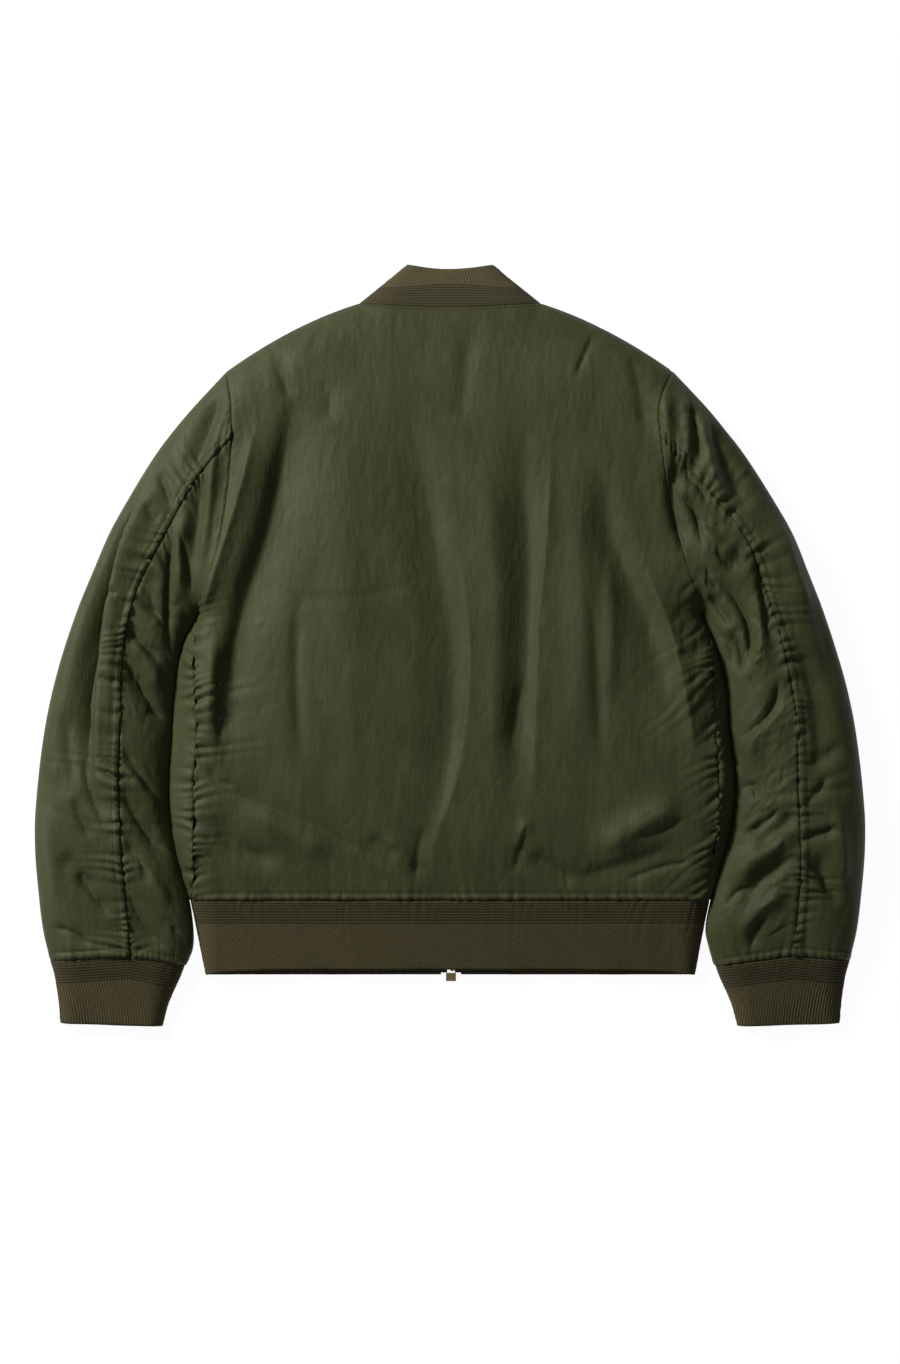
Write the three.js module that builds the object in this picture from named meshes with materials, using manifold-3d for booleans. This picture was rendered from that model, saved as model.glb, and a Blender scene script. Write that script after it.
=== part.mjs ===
// Bomber jacket, zipped up and lying flat on its front: back upwards, sleeves beside the body.
// Millimetres. +Z is up from the surface it lies on, +Y runs from the hem to the collar, and +X is the
// wearer's right. The origin is on that surface, at the middle of the jacket's box.
//
// Every panel is a thin wall on one pillow-like form. A point of the form lies at distance d from the
// jacket's outline: the upper layer rounds up from the side fold to the crown, and the lower layer rounds
// down from it to the flat underside. Panels are ruled between the seams, which the tables below give.
import * as THREE from 'three';
import Module from 'manifold-3d';

// ---- Driving dimensions ------------------------------------------------------------------------------
const shellThickness = 2; // nylon shell with its thin fill and lining
const ribThickness = 2.6; // doubled rib knit
const seamGap = 0.5; // between two shell panels
const ribTrim = { hem: 0.6, collar: 1.1, cuff: 1.7 }; // how far short of its seam each rib stops
const armholeGap = 0.3; // more across the curved armhole seams
const sleeveGap = 3; // between a sleeve and the side of the body
const edgeShare = 0.3; // height of a side fold, as a share of the crown
const underRound = 1.1; // rounding of the lower layer at a side fold, as a share of the fold's height
const underarmY = 31;
const hemY = -255; // seam between the shell and the hem rib
const hemBottomBack = -325;
const hemBottomFront = -331; // the front of the hem hangs a little lower than the back
const zipX = 1; // the zip lies just off the middle
const frontEdge = 10; // from the zip's middle to the edge of a front
const hemBlockWidth = 48; // shell fabric between the zip and the hem rib
const neck = { half: 91, side: 343, backMiddle: 338, frontMiddle: 268 };
const collarTop = { half: 43, side: 382, backMiddle: 377, frontMiddle: 313 };
const shoulderBulge = 7; // the shoulder line bows out by this much

// The zip's slider holds the fronts off the surface under the neck.
const lift = { height: 8, fullAbove: 232, zeroBelow: 150, half: 75 };

// ---- Tables ------------------------------------------------------------------------------------------
// Outer edges of the sleeves, from a shoulder tip to the cuff seam: distance from the middle.
const outerEdge = [
  { y: 274, half: 224 },
  { y: 235, half: 260 },
  { y: 195, half: 292 },
  { y: 155, half: 318 },
  { y: 115, half: 341 },
  { y: 75, half: 358 },
  { y: 35, half: 374 },
  { y: -25, half: 393 },
  { y: -85, half: 406 },
  { y: -165, half: 415 },
  { y: -205, half: 415.5 },
  { y: -245, half: 412.5 },
  { y: -285, half: 408 },
  { y: -316, half: 401 },
];
// Edges of the back panel: the armholes down to the underarms, then the side seams.
const backEdge = [
  { y: 274, left: 224, right: 223 },
  { y: 240, left: 218, right: 208 },
  { y: 206, left: 217, right: 209 },
  { y: 170, left: 219, right: 214 },
  { y: 130, left: 224, right: 222 },
  { y: 90, left: 232, right: 232 },
  { y: 60, left: 243, right: 242 },
  { y: 31, left: 251, right: 251 },
  { y: 0, left: 253, right: 258 },
  { y: -45, left: 251, right: 261 },
  { y: -90, left: 250, right: 263 },
  { y: -135, left: 253, right: 266 },
  { y: -180, left: 253, right: 264 },
  { y: -225, left: 253, right: 259 },
  { y: -255, left: 256, right: 256 },
];
// Where the body and the inner edge of a sleeve lie side by side, below the underarm.
const valley = [
  { y: 31, left: 251, right: 251 },
  { y: 0, left: 267, right: 264 },
  { y: -45, left: 275, right: 276 },
  { y: -90, left: 278, right: 279 },
  { y: -135, left: 281, right: 284 },
  { y: -180, left: 279, right: 281 },
  { y: -225, left: 270, right: 270 },
  { y: -255, left: 262, right: 262 },
  { y: -285, left: 258, right: 257 },
  { y: -305, left: 259, right: 261 },
  { y: -321, left: 266, right: 266 },
];
// The gathered seam down the back of each sleeve.
const sleeveSeam = [
  { y: 206, left: 217, right: 209 },
  { y: 165, left: 251, right: 245 },
  { y: 110, left: 282, right: 291 },
  { y: 52, left: 311, right: 314 },
  { y: -5, left: 323, right: 331 },
  { y: -70, left: 326, right: 343 },
  { y: -145, left: 328, right: 345 },
  { y: -215, left: 325, right: 348 },
  { y: -267, left: 321, right: 346 },
  { y: -310, left: 318, right: 342 },
];
// Sections across a sleeve, from the armhole to the cuff seam: where each meets the sleeve's edges and seam,
// and the front seam's share of the way from the outer to the inner edge.
const sleeveSections = [
  { outer: 274, seam: 206, inner: 31, front: 0.5 },
  { outer: 195, seam: 165, inner: 3, front: 0.52 },
  { outer: 115, seam: 110, inner: -22, front: 0.54 },
  { outer: 35, seam: 52, inner: -57, front: 0.55 },
  { outer: -25, seam: -5, inner: -97, front: 0.55 },
  { outer: -85, seam: -70, inner: -140, front: 0.55 },
  { outer: -165, seam: -145, inner: -178, front: 0.55 },
  { outer: -235, seam: -215, inner: -228, front: 0.55 },
  { outer: -282, seam: -267, inner: -283, front: 0.55 },
  { outer: -316, seam: -310, inner: -321, front: 0.55 },
];
// Edges of a cuff, from its seam to its end: distances from the middle and heights on the page.
const cuffEdge = [
  { share: 0, outer: 401, outerY: -316, inner: 266, innerY: -321 },
  { share: 0.25, outer: 397, outerY: -330, inner: 271, innerY: -334 },
  { share: 0.6, outer: 393, outerY: -355, inner: 282, innerY: -358 },
  { share: 1, outer: 391, outerY: -379, inner: 289, innerY: -382 },
];
// Side edges of the hem rib, from its seam to its lower edge.
const hemEdge = [
  { share: 0, half: 260.5 },
  { share: 0.35, half: 255 },
  { share: 1, half: 245.5 },
];
// Crown: height of the upper layer. Round: how far from a side fold it reaches that height.
const profile = [
  { y: 382, body: 11, bodyRound: 14, sleeve: 11, sleeveRound: 14 },
  { y: 343, body: 20, bodyRound: 26, sleeve: 20, sleeveRound: 26 },
  { y: 274, body: 33, bodyRound: 40, sleeve: 33, sleeveRound: 40 },
  { y: 200, body: 39, bodyRound: 46, sleeve: 39, sleeveRound: 46 },
  { y: 100, body: 43, bodyRound: 48, sleeve: 43, sleeveRound: 48 },
  { y: 20, body: 45, bodyRound: 48, sleeve: 45, sleeveRound: 50 },
  { y: -100, body: 45, bodyRound: 48, sleeve: 46, sleeveRound: 52 },
  { y: -190, body: 40, bodyRound: 42, sleeve: 44, sleeveRound: 50 },
  { y: -255, body: 28, bodyRound: 30, sleeve: 38, sleeveRound: 44 },
  { y: -320, body: 16, bodyRound: 15, sleeve: 27, sleeveRound: 30 },
  { y: -335, body: 14, bodyRound: 14, sleeve: 23, sleeveRound: 24 },
  { y: -382, body: 14, bodyRound: 14, sleeve: 15, sleeveRound: 15 },
];
// Largest folds of the upper layer: from one point to another, their half width and their height.
const folds = [
  { from: [-196, 150], to: [-243, 10], half: 20, height: 6 },
  { from: [-196, 130], to: [-212, -120], half: 30, height: -8 },
  { from: [-30, 200], to: [-22, -60], half: 24, height: -6 },
  { from: [-18, -60], to: [-28, -230], half: 22, height: -7 },
  { from: [92, 180], to: [80, -150], half: 22, height: 5 },
  { from: [58, 90], to: [62, -220], half: 20, height: -6 },
  { from: [165, 160], to: [236, 20], half: 22, height: -5 },
  { from: [-150, -190], to: [-70, -222], half: 18, height: 4 },
  { from: [-318, 150], to: [-358, -60], half: 16, height: -7 },
  { from: [-358, -60], to: [-352, -170], half: 16, height: -6 },
  { from: [332, 120], to: [372, 0], half: 20, height: -4 },
];

// ---- Curves ------------------------------------------------------------------------------------------
const lerp = (a, b, t) => a + (b - a) * t;
const clamp01 = (t) => Math.min(1, Math.max(0, t));
const smooth = (t) => clamp01(t) ** 2 * (3 - 2 * clamp01(t));
const vec = (x, y, z) => new THREE.Vector3(x, y, z);

// A smooth curve through one column of a table, read at a value of its key column.
function read(table, key, column, value) {
  const down = table[0][key] > table[table.length - 1][key];
  const past = (row) => (down ? row[key] <= value : row[key] >= value);
  const found = table.findIndex(past);
  const i = Math.max(1, found < 0 ? table.length - 1 : found);
  const [a, b] = [table[i - 1], table[i]];
  const [before, after] = [table[i - 2] ?? a, table[i + 1] ?? b];
  const span = b[key] - a[key];
  const t = clamp01((value - a[key]) / span);
  const slope = (p, q) => (p === q ? 0 : ((q[column] - p[column]) / (q[key] - p[key])) * span);
  const m0 = before === a ? slope(a, b) : slope(before, b);
  const m1 = after === b ? slope(a, b) : slope(a, after);
  return (
    a[column] * (2 * t ** 3 - 3 * t ** 2 + 1) +
    m0 * (t ** 3 - 2 * t ** 2 + t) +
    b[column] * (3 * t ** 2 - 2 * t ** 3) +
    m1 * (t ** 3 - t ** 2)
  );
}

const sideSign = { left: -1, right: 1 };
// Half of the room between a sleeve and the body: a seam's gap at the armhole, more from the underarm down.
const clearance = (y) => lerp(sleeveGap, armholeGap, smooth((y - underarmY) / 70)) / 2;
const armholeX = (side, y, outward) =>
  sideSign[side] * (read(backEdge, 'y', side, y) + outward * clearance(y));
const valleyX = (side, y, outward) =>
  sideSign[side] * (read(valley, 'y', side, y) + outward * clearance(y));
const outerX = (side, y) => sideSign[side] * read(outerEdge, 'y', 'half', y);

// Shoulder line from the tip (t 0) to the neck (t 1).
function shoulder(side, t) {
  const tip = vec(outerX(side, outerEdge[0].y), outerEdge[0].y, 0);
  const end = vec(sideSign[side] * neck.half, neck.side, 0);
  return tip.lerp(end, t).add(vec(0, shoulderBulge * 4 * t * (1 - t), 0));
}

// Side of the collar (t 0 at the neck seam), of the hem rib and of a cuff (t 0 at their seams).
const collarSide = (side, t) =>
  vec(sideSign[side] * lerp(neck.half, collarTop.half, t), lerp(neck.side, collarTop.side, t), 0);
const hemSide = (side, t) =>
  vec(sideSign[side] * read(hemEdge, 'share', 'half', t), lerp(hemY, hemBottomFront, t), 0);
const cuffSide = (side, t, which) =>
  vec(
    sideSign[side] * read(cuffEdge, 'share', which, t),
    read(cuffEdge, 'share', which + 'Y', t),
    0,
  );

// ---- The form ----------------------------------------------------------------------------------------
function polyline(make, steps) {
  return Array.from({ length: steps + 1 }, (_, i) => make(i / steps));
}

// Rows of the body panels, closer together near the shoulder, where the layers round over, and of the sleeves.
const bodyRows = [0, 0.006, 0.02, 0.05, 0.09, 0.14, 0.2, 0.27, 0.34, 0.4].concat(
  [(outerEdge[0].y - underarmY) / (outerEdge[0].y - hemY), 0.52, 0.59, 0.67, 0.75, 0.83, 0.9, 0.95, 1],
);
const sleeveRows = [0, 0.04, 0.1, 0.17, 0.25, 0.33, 0.41, 0.49, 0.57, 0.65, 0.73, 0.81, 0.89, 0.95, 1];
// Each sleeve panel is three nodes down its length, so that its collision pieces keep close to its thin wall.
const sleeveParts = [
  { part: 'top', from: 0, to: 0.33 },
  { part: 'elbow', from: 0.33, to: 0.65 },
  { part: 'fore', from: 0.65, to: 1 },
];
// And each front is two.
const frontParts = [
  { part: 'top', from: 0, to: 0.34 },
  { part: 'lower', from: 0.34, to: 1 },
];

// The outline's lines. The body and each sleeve have their own, because they lie side by side.
const topY = outerEdge[0].y;
const cuffY = outerEdge[outerEdge.length - 1].y;
const innerCuffY = valley[valley.length - 1].y;
const shared = ['left', 'right'].flatMap((side) => [
  polyline((t) => shoulder(side, t), 12),
  polyline((t) => collarSide(side, t), 2),
  polyline((t) => vec(outerX(side, lerp(topY, cuffY, t)), lerp(topY, cuffY, t), 0), 60),
]);
const sideOf = (side, endY, outward) =>
  polyline((t) => vec(valleyX(side, lerp(underarmY, endY, t), outward), lerp(underarmY, endY, t), 0), 40);
const outlines = {
  body: [
    ...shared,
    ...['left', 'right'].flatMap((side) => [
      sideOf(side, hemY, -1),
      polyline((t) => hemSide(side, t), 12),
    ]),
  ],
};
for (const side of ['left', 'right']) {
  outlines[side] = [
    ...shared,
    sideOf(side, innerCuffY, 1),
    polyline((t) => cuffSide(side, t, 'outer'), 12),
    polyline((t) => cuffSide(side, t, 'inner'), 12),
  ];
}

function segmentDistance(x, y, a, b) {
  const [dx, dy] = [b.x - a.x, b.y - a.y];
  const t = clamp01(((x - a.x) * dx + (y - a.y) * dy) / (dx * dx + dy * dy || 1));
  return Math.hypot(x - a.x - t * dx, y - a.y - t * dy);
}

function edgeDistance(x, y, form) {
  let best = Infinity;
  for (const line of outlines[form]) {
    for (let i = 1; i < line.length; i++) {
      best = Math.min(best, segmentDistance(x, y, line[i - 1], line[i]));
    }
  }
  return best;
}

const quarterRound = (q) => (q >= 1 ? 1 : Math.sqrt(1 - (1 - Math.max(0, q)) ** 2));

function foldHeight(x, y) {
  let sum = 0;
  for (const { from, to, half, height } of folds) {
    const [dx, dy] = [to[0] - from[0], to[1] - from[1]];
    const along = ((x - from[0]) * dx + (y - from[1]) * dy) / (dx * dx + dy * dy);
    if (along <= -0.15 || along >= 1.15) continue;
    const away = Math.abs((x - from[0]) * dy - (y - from[1]) * dx) / Math.hypot(dx, dy);
    const fade = smooth((along + 0.15) / 0.35) * smooth((1.15 - along) / 0.35);
    sum += height * Math.exp(-2 * (away / half) ** 2) * fade;
  }
  return sum;
}

function crownAt(form, y) {
  const column = form === 'body' ? 'body' : 'sleeve';
  return {
    crown: read(profile, 'y', column, y),
    round: read(profile, 'y', column + 'Round', y),
  };
}

function upper(x, y, form) {
  const { crown, round } = crownAt(form, y);
  const share = quarterRound(edgeDistance(x, y, form) / round);
  const fold = foldHeight(x, y) * share ** 2;
  return vec(x, y, crown * (edgeShare + (1 - edgeShare) * share) + fold);
}

const liftAt = (x, y) =>
  lift.height *
  smooth((y - lift.zeroBelow) / (lift.fullAbove - lift.zeroBelow)) *
  smooth(1.3 - Math.abs(x - zipX) / lift.half) *
  smooth((neck.side + 10 - y) / 40);

function lower(x, y, form) {
  const edge = crownAt(form, y).crown * edgeShare;
  const share = quarterRound(edgeDistance(x, y, form) / (edge * underRound));
  return vec(x, y, edge * (1 - share) + liftAt(x, y));
}

// ---- Walls -------------------------------------------------------------------------------------------
// A row is a dense line across a panel, in sections that each end at a fold, a corner or a seam. The points
// of a section are taken again evenly, with more where it bends.
const bendWeight = 22; // millimetres of length that one radian counts for

function denseSection(plan) {
  const points = plan.filter((p, i) => i === 0 || p.distanceTo(plan[i - 1]) > 1e-4);
  const cost = [0];
  for (let i = 1; i < points.length; i++) {
    const step = points[i].clone().sub(points[i - 1]);
    const next = points[i + 1]?.clone().sub(points[i]);
    const turn = next ? step.angleTo(next) : 0;
    cost.push(cost[i - 1] + step.length() + bendWeight * turn);
  }
  return { points, cost };
}

function onSection({ points, cost }, share) {
  const target = share * cost[cost.length - 1];
  const i = Math.max(1, cost.findIndex((c) => c >= target - 1e-9));
  return points[i - 1].clone().lerp(points[i], clamp01((target - cost[i - 1]) / (cost[i] - cost[i - 1])));
}

// The point at a place on a row: 2.5 is half way along its third section.
function onRow(row, place, loop) {
  const around = loop ? (place + row.length) % row.length : Math.min(row.length, Math.max(0, place));
  const section = Math.min(row.length - 1, Math.floor(around));
  return onSection(row[section], around - section);
}

// A closed wall on rowAt(v), whose outer face is the side that (across x along) points to, or its reverse.
// Columns holds the number of cells in each section of a row.
function wall({
  rowAt,
  rows,
  columns,
  thickness,
  reverse = false,
  loop = false,
  trim = seamGap / 2,
  ends = [trim, trim],
}) {
  const outer = [];
  const inner = [];
  const small = 1e-3;
  const places = columns.flatMap((count, i) => Array.from({ length: count }, (_, k) => i + k / count));
  if (!loop) places.push(columns.length);
  rows.forEach((v, r) => {
    const near = v + small > 1 ? -small : small;
    const row = rowAt(v).map(denseSection);
    const beside = rowAt(v + near).map(denseSection);
    places.forEach((place, c) => {
      const at = onRow(row, place, loop);
      const across = onRow(row, place + 0.02, loop).sub(onRow(row, place - 0.02, loop)).normalize();
      const along = onRow(beside, place, loop).sub(at).multiplyScalar(Math.sign(near)).normalize();
      const normal = across.clone().cross(along).multiplyScalar(reverse ? -1 : 1).normalize();
      if (r === 0) at.addScaledVector(along, ends[0]);
      if (r === rows.length - 1) at.addScaledVector(along, -ends[1]);
      if (!loop && c === 0) at.addScaledVector(across, trim);
      if (!loop && c === places.length - 1) at.addScaledVector(across, -trim);
      outer.push(at);
      inner.push(at.clone().addScaledVector(normal, -thickness));
    });
  });
  return closedWall(outer, inner, rows.length, places.length, loop, reverse);
}

function closedWall(outer, inner, rowCount, columnCount, loop, reverse) {
  const positions = [...outer, ...inner].flatMap((p) => p.toArray());
  const index = [];
  const inside = outer.length;
  const quad = (a, b, c, d) => index.push(...(reverse ? [a, c, b, a, d, c] : [a, b, c, a, c, d]));
  const at = (r, c) => r * columnCount + (c % columnCount);
  const across = loop ? columnCount : columnCount - 1;
  for (let r = 0; r + 1 < rowCount; r++) {
    for (let c = 0; c < across; c++) {
      const [a, b, d, e] = [at(r, c), at(r, c + 1), at(r + 1, c + 1), at(r + 1, c)];
      quad(a, b, d, e);
      quad(a + inside, e + inside, d + inside, b + inside);
    }
  }
  for (let c = 0; c < across; c++) {
    const last = rowCount - 1;
    quad(at(0, c), at(0, c) + inside, at(0, c + 1) + inside, at(0, c + 1));
    quad(at(last, c), at(last, c + 1), at(last, c + 1) + inside, at(last, c) + inside);
  }
  if (!loop) {
    const end = columnCount - 1;
    for (let r = 0; r + 1 < rowCount; r++) {
      quad(at(r, 0), at(r + 1, 0), at(r + 1, 0) + inside, at(r, 0) + inside);
      quad(at(r, end), at(r, end) + inside, at(r + 1, end) + inside, at(r + 1, end));
    }
  }
  const geometry = new THREE.BufferGeometry();
  geometry.setAttribute('position', new THREE.Float32BufferAttribute(positions, 3));
  geometry.setIndex(index);
  geometry.computeVertexNormals();
  return geometry;
}

// Points from a to b, closer together towards the end that lies on a side fold.
const pathSteps = 48;
const towardsEnd = polyline((t) => Math.sin((t * Math.PI) / 2), pathSteps);
const fromStart = towardsEnd.map((t) => 1 - t).reverse();

// ---- Sleeves -----------------------------------------------------------------------------------------
// Station v of a sleeve: its points on the outer edge, the back seam, the inner edge and the front seam.
const stationIndex = sleeveSections.map((row, i) => ({ ...row, i }));
function sleeveStation(side, v) {
  const at = v * (sleeveSections.length - 1);
  const [outerY, seamY, innerY, front] = ['outer', 'seam', 'inner', 'front'].map((column) =>
    read(stationIndex, 'i', column, at),
  );
  const outer = vec(outerX(side, outerY), outerY, 0);
  const inner = vec(valleyX(side, innerY, 1), innerY, 0);
  const seam = vec(sideSign[side] * read(sleeveSeam, 'y', side, seamY), seamY, 0);
  return { outer, inner, seam, front: outer.clone().lerp(inner, front) };
}

// Near the armhole, rows bow to follow it: the shift that puts a point of the first row on the armhole.
function bowed(side, from, to, first, t, v) {
  const point = from.clone().lerp(to, t);
  const start = first[0].clone().lerp(first[1], t);
  point.x += (armholeX(side, start.y, 1) - start.x) * (1 - v) ** 4;
  return point;
}

function sleeveRow(side, edge) {
  const start = sleeveStation(side, 0);
  return (v) => {
    const station = sleeveStation(side, Math.min(1, v));
    const over = (t) => bowed(side, station.seam, station[edge], [start.seam, start[edge]], t, v);
    const under = (t) => bowed(side, station[edge], station.front, [start[edge], start.front], t, v);
    return [
      towardsEnd.map((t) => over(t)).map((p) => upper(p.x, p.y, side)),
      fromStart.map((t) => under(t)).map((p) => lower(p.x, p.y, side)),
    ];
  };
}

// ---- Body --------------------------------------------------------------------------------------------
// Height of the body's edge point at station v, from the shoulder tip down to the hem seam.
const bodyY = (v) => lerp(topY, hemY, v);
const backTop = (x) => {
  const half = Math.abs(x);
  if (half < neck.half) return lerp(neck.backMiddle, neck.side, (half / neck.half) ** 2);
  const side = x < 0 ? 'left' : 'right';
  const tip = Math.abs(outerX(side, topY));
  return shoulder(side, (tip - half) / (tip - neck.half)).y;
};

function backRow(v) {
  const y = bodyY(v);
  const [left, right] = [armholeX('left', y, -1), armholeX('right', y, -1)];
  const [topLeft, topRight] = [armholeX('left', topY, -1), armholeX('right', topY, -1)];
  const at = (x) => {
    const u = (x - topLeft) / (topRight - topLeft);
    return upper(lerp(left, right, u), y + (backTop(x) - topY) * (1 - v) ** 3, 'body');
  };
  const corners = [topLeft, -neck.half, neck.half, topRight];
  return corners.slice(1).map((end, i) => polyline((t) => at(lerp(corners[i], end, t)), pathSteps));
}

// Neckline and zip edge of a front at station v: down the neck curve, then straight.
const neckShare = 0.2;
function frontInner(side, v) {
  const s = sideSign[side];
  const edge = zipX + s * frontEdge;
  if (v >= neckShare) {
    return vec(edge, lerp(neck.frontMiddle, hemY, (v - neckShare) / (1 - neckShare)), 0);
  }
  return neckCurve(side, v / neckShare, neck, edge);
}

// A quarter ellipse from the side of the neck (t 0) to the middle of the front (t 1).
function neckCurve(side, t, ring, endX) {
  const angle = (t * Math.PI) / 2;
  const x = lerp(endX, sideSign[side] * ring.half, Math.cos(angle));
  return vec(x, ring.side - (ring.side - ring.frontMiddle) * Math.sin(angle), 0);
}

const sideStrip = 0.04;
function frontRow(side) {
  return (v) => {
    const y = bodyY(v);
    const end = frontInner(side, v);
    const seam = vec(armholeX(side, y, -1), y, 0);
    const edge = y < underarmY - 1 ? vec(valleyX(side, y, -1), y, 0) : seam;
    const bow = (t) => shoulderBulge * 4 * t * (1 - t) * Math.max(0, 1 - v / neckShare) ** 2;
    const under = (t) => {
      const p = edge.clone().lerp(end, t);
      return lower(p.x, p.y + bow(t), 'body');
    };
    const over = (t) => {
      const p = seam.clone().lerp(edge, t);
      return upper(p.x, p.y, 'body');
    };
    if (edge !== seam) return [towardsEnd.map(over), fromStart.map(under)];
    // Above the underarm the front ends at the side fold, and its first section is only a strip.
    return [fromStart.map((t) => under(t * sideStrip)), fromStart.map((t) => under(lerp(sideStrip, 1, t)))];
  };
}

// ---- Ribs --------------------------------------------------------------------------------------------
// A cuff's rows run round it, from the outer edge over the upper layer to the inner edge and back below.
// Its sections end where the sleeve's folds and seams do, so that their points meet.
const evenly = polyline((t) => t, pathSteps);
const backwards = (points) => [...points].reverse();
function cuffRow(side) {
  const { seam, front } = sleeveStation(side, 1);
  const [top, end] = [cuffSide(side, 0, 'outer'), cuffSide(side, 0, 'inner')];
  const seamShare = (seam.x - top.x) / (end.x - top.x);
  const frontShare = (front.x - top.x) / (end.x - top.x);
  const rise = seam.y - lerp(top.y, end.y, seamShare);
  return (v) => {
    const [a, b] = [cuffSide(side, v, 'outer'), cuffSide(side, v, 'inner')];
    const middle = a.clone().lerp(b, seamShare).add(vec(0, rise * (1 - v), 0));
    const below = a.clone().lerp(b, frontShare);
    const over = (from, to) => towardsEnd.map((t) => from.clone().lerp(to, t)).map((p) => upper(p.x, p.y, side));
    const under = (from, to) => fromStart.map((t) => from.clone().lerp(to, t)).map((p) => lower(p.x, p.y, side));
    return [backwards(over(middle, a)), over(middle, b), under(b, below), backwards(under(a, below))];
  };
}

// The hem rib runs from one hem block round to the other.
function hemRow(v) {
  const back = lerp(hemY, hemBottomBack, v);
  const front = lerp(hemY, hemBottomFront, v);
  const [left, right] = [hemSide('left', v), hemSide('right', v)];
  const middle = vec(0, back, 0);
  const half = (side) =>
    towardsEnd.map((t) => {
      const p = middle.clone().lerp(side, t);
      return upper(p.x, lerp(back, front, t ** 8), 'body');
    });
  const under = (side, edge) => {
    const end = vec(zipX + sideSign[edge] * (frontEdge + hemBlockWidth), front, 0);
    return fromStart.map((t) => side.clone().lerp(end, t)).map((p) => lower(p.x, p.y, 'body'));
  };
  return [backwards(under(left, 'left')), backwards(half(left)), half(right), under(right, 'right')];
}

// The collar stands along the neckline, from the zip round the back to the zip.
function collarRow(v) {
  const ring = Object.fromEntries(Object.keys(neck).map((k) => [k, lerp(neck[k], collarTop[k], v)]));
  const under = (side) =>
    evenly.map((t) => neckCurve(side, t, ring, zipX + sideSign[side] * 1.5)).map((p) => lower(p.x, p.y, 'body'));
  const over = (from, to) =>
    evenly.map((t) => {
      const x = lerp(from, to, t);
      return upper(x, lerp(ring.backMiddle, ring.side, (x / ring.half) ** 2), 'body');
    });
  return [backwards(under('left')), over(-ring.half, ring.half), under('right')];
}

// ---- Zip ---------------------------------------------------------------------------------------------
// A strip along the zip, with a row wherever the fronts have one: x from a to b, and its lower face above
// the fronts' outer face by the height given.
function strip({ a, b, above, thickness, from, to }) {
  const heights = bodyRows.map((v) => frontInner('left', v).y).filter((y) => y < from - 2 && y > to + 2);
  const rows = [from, ...heights, to].map((y) => (from - y) / (from - to));
  const rowAt = (v) => {
    const y = lerp(from, to, v);
    return [[a, b].map((x) => vec(x, y, liftAt(zipX, y) + above + thickness))];
  };
  return wall({ rowAt, rows, columns: [1], thickness, trim: 0, reverse: true });
}

const zipTop = neck.frontMiddle - 2;
const zipBottom = -329;
const slider = { y: 243.5, width: 11, length: 15, plate: 1.2, post: 3, postWidth: 4, mouth: 3.8 };
const chain = { half: 3.4, above: 0.4, thickness: 2.8 };
const tape = { from: 3.8, to: 17, thickness: 0.8 };
const box = { half: 5, length: 8, thickness: 4 };
const bail = { reach: 6.5, leg: 1.5, width: 3, inner: 2.5, roof: 1.2 };
const pull = { width: 8, thickness: 1.2, bar: 1, slotEnd: 9, slotHalf: 2.3, length: 30, tilt: 9 };

// The slider's outer plate faces down. sliderFace is that face's height, and the bail hangs below it.
const sliderFace =
  lift.height + chain.above - (slider.mouth - chain.thickness) / 2 - slider.plate;
const hingeZ = sliderFace - bail.inner / 2;

const wasm = await Module();
wasm.setup();

function toSolid(geometry) {
  const plain = geometry.index ? geometry.toNonIndexed() : geometry;
  const mesh = new wasm.Mesh({
    numProp: 3,
    vertProperties: new Float32Array(plain.getAttribute('position').array),
    triVerts: Uint32Array.from({ length: plain.getAttribute('position').count }, (_, i) => i),
  });
  mesh.merge();
  return new wasm.Manifold(mesh);
}

function fromSolid(solid) {
  const { vertProperties, triVerts, numProp } = solid.getMesh();
  const positions = [];
  for (let i = 0; i < vertProperties.length; i += numProp) {
    positions.push(...vertProperties.subarray(i, i + 3));
  }
  const geometry = new THREE.BufferGeometry();
  geometry.setAttribute('position', new THREE.Float32BufferAttribute(positions, 3));
  geometry.setIndex([...triVerts]);
  geometry.computeVertexNormals();
  return geometry;
}

// A profile drawn in the Y-Z plane and extruded along X, centred on the zip.
function sideways(points, width) {
  const shape = new THREE.Shape(points.map(([y, z]) => new THREE.Vector2(y, z)));
  const geometry = new THREE.ExtrudeGeometry(shape, { depth: width, bevelEnabled: false });
  // Shape x, y and depth become Y, Z and X.
  geometry.applyMatrix4(new THREE.Matrix4().set(0, 0, 1, -width / 2, 1, 0, 0, 0, 0, 1, 0, 0, 0, 0, 0, 1));
  return geometry.translate(zipX, 0, 0);
}

function sliderGeometry() {
  const [low, high] = [slider.y - slider.length / 2, slider.y + slider.length / 2];
  const inside = sliderFace + slider.plate;
  const roof = inside + slider.mouth;
  const block = (from, to, bottom, top, width) =>
    toSolid(
      sideways(
        [
          [from, bottom],
          [to, bottom],
          [to, top],
          [from, top],
        ],
        width,
      ),
    );
  const plates = block(low, high, sliderFace, inside, slider.width).add(
    block(low, high, roof, roof + slider.plate, slider.width),
  );
  const post = block(high - slider.post, high, inside - 0.2, roof + 0.2, slider.postWidth);
  const [legOut, legIn] = [bail.reach, bail.reach - bail.leg];
  const bottom = sliderFace - bail.inner - bail.roof;
  const loop = sideways(
    [
      [slider.y - legOut, sliderFace + 0.5],
      [slider.y - legOut, bottom],
      [slider.y + legOut, bottom],
      [slider.y + legOut, sliderFace + 0.5],
      [slider.y + legIn, sliderFace + 0.5],
      [slider.y + legIn, bottom + bail.roof],
      [slider.y - legIn, bottom + bail.roof],
      [slider.y - legIn, sliderFace + 0.5],
    ],
    bail.width,
  );
  return fromSolid(plates.add(post).add(toSolid(loop)));
}

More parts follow.
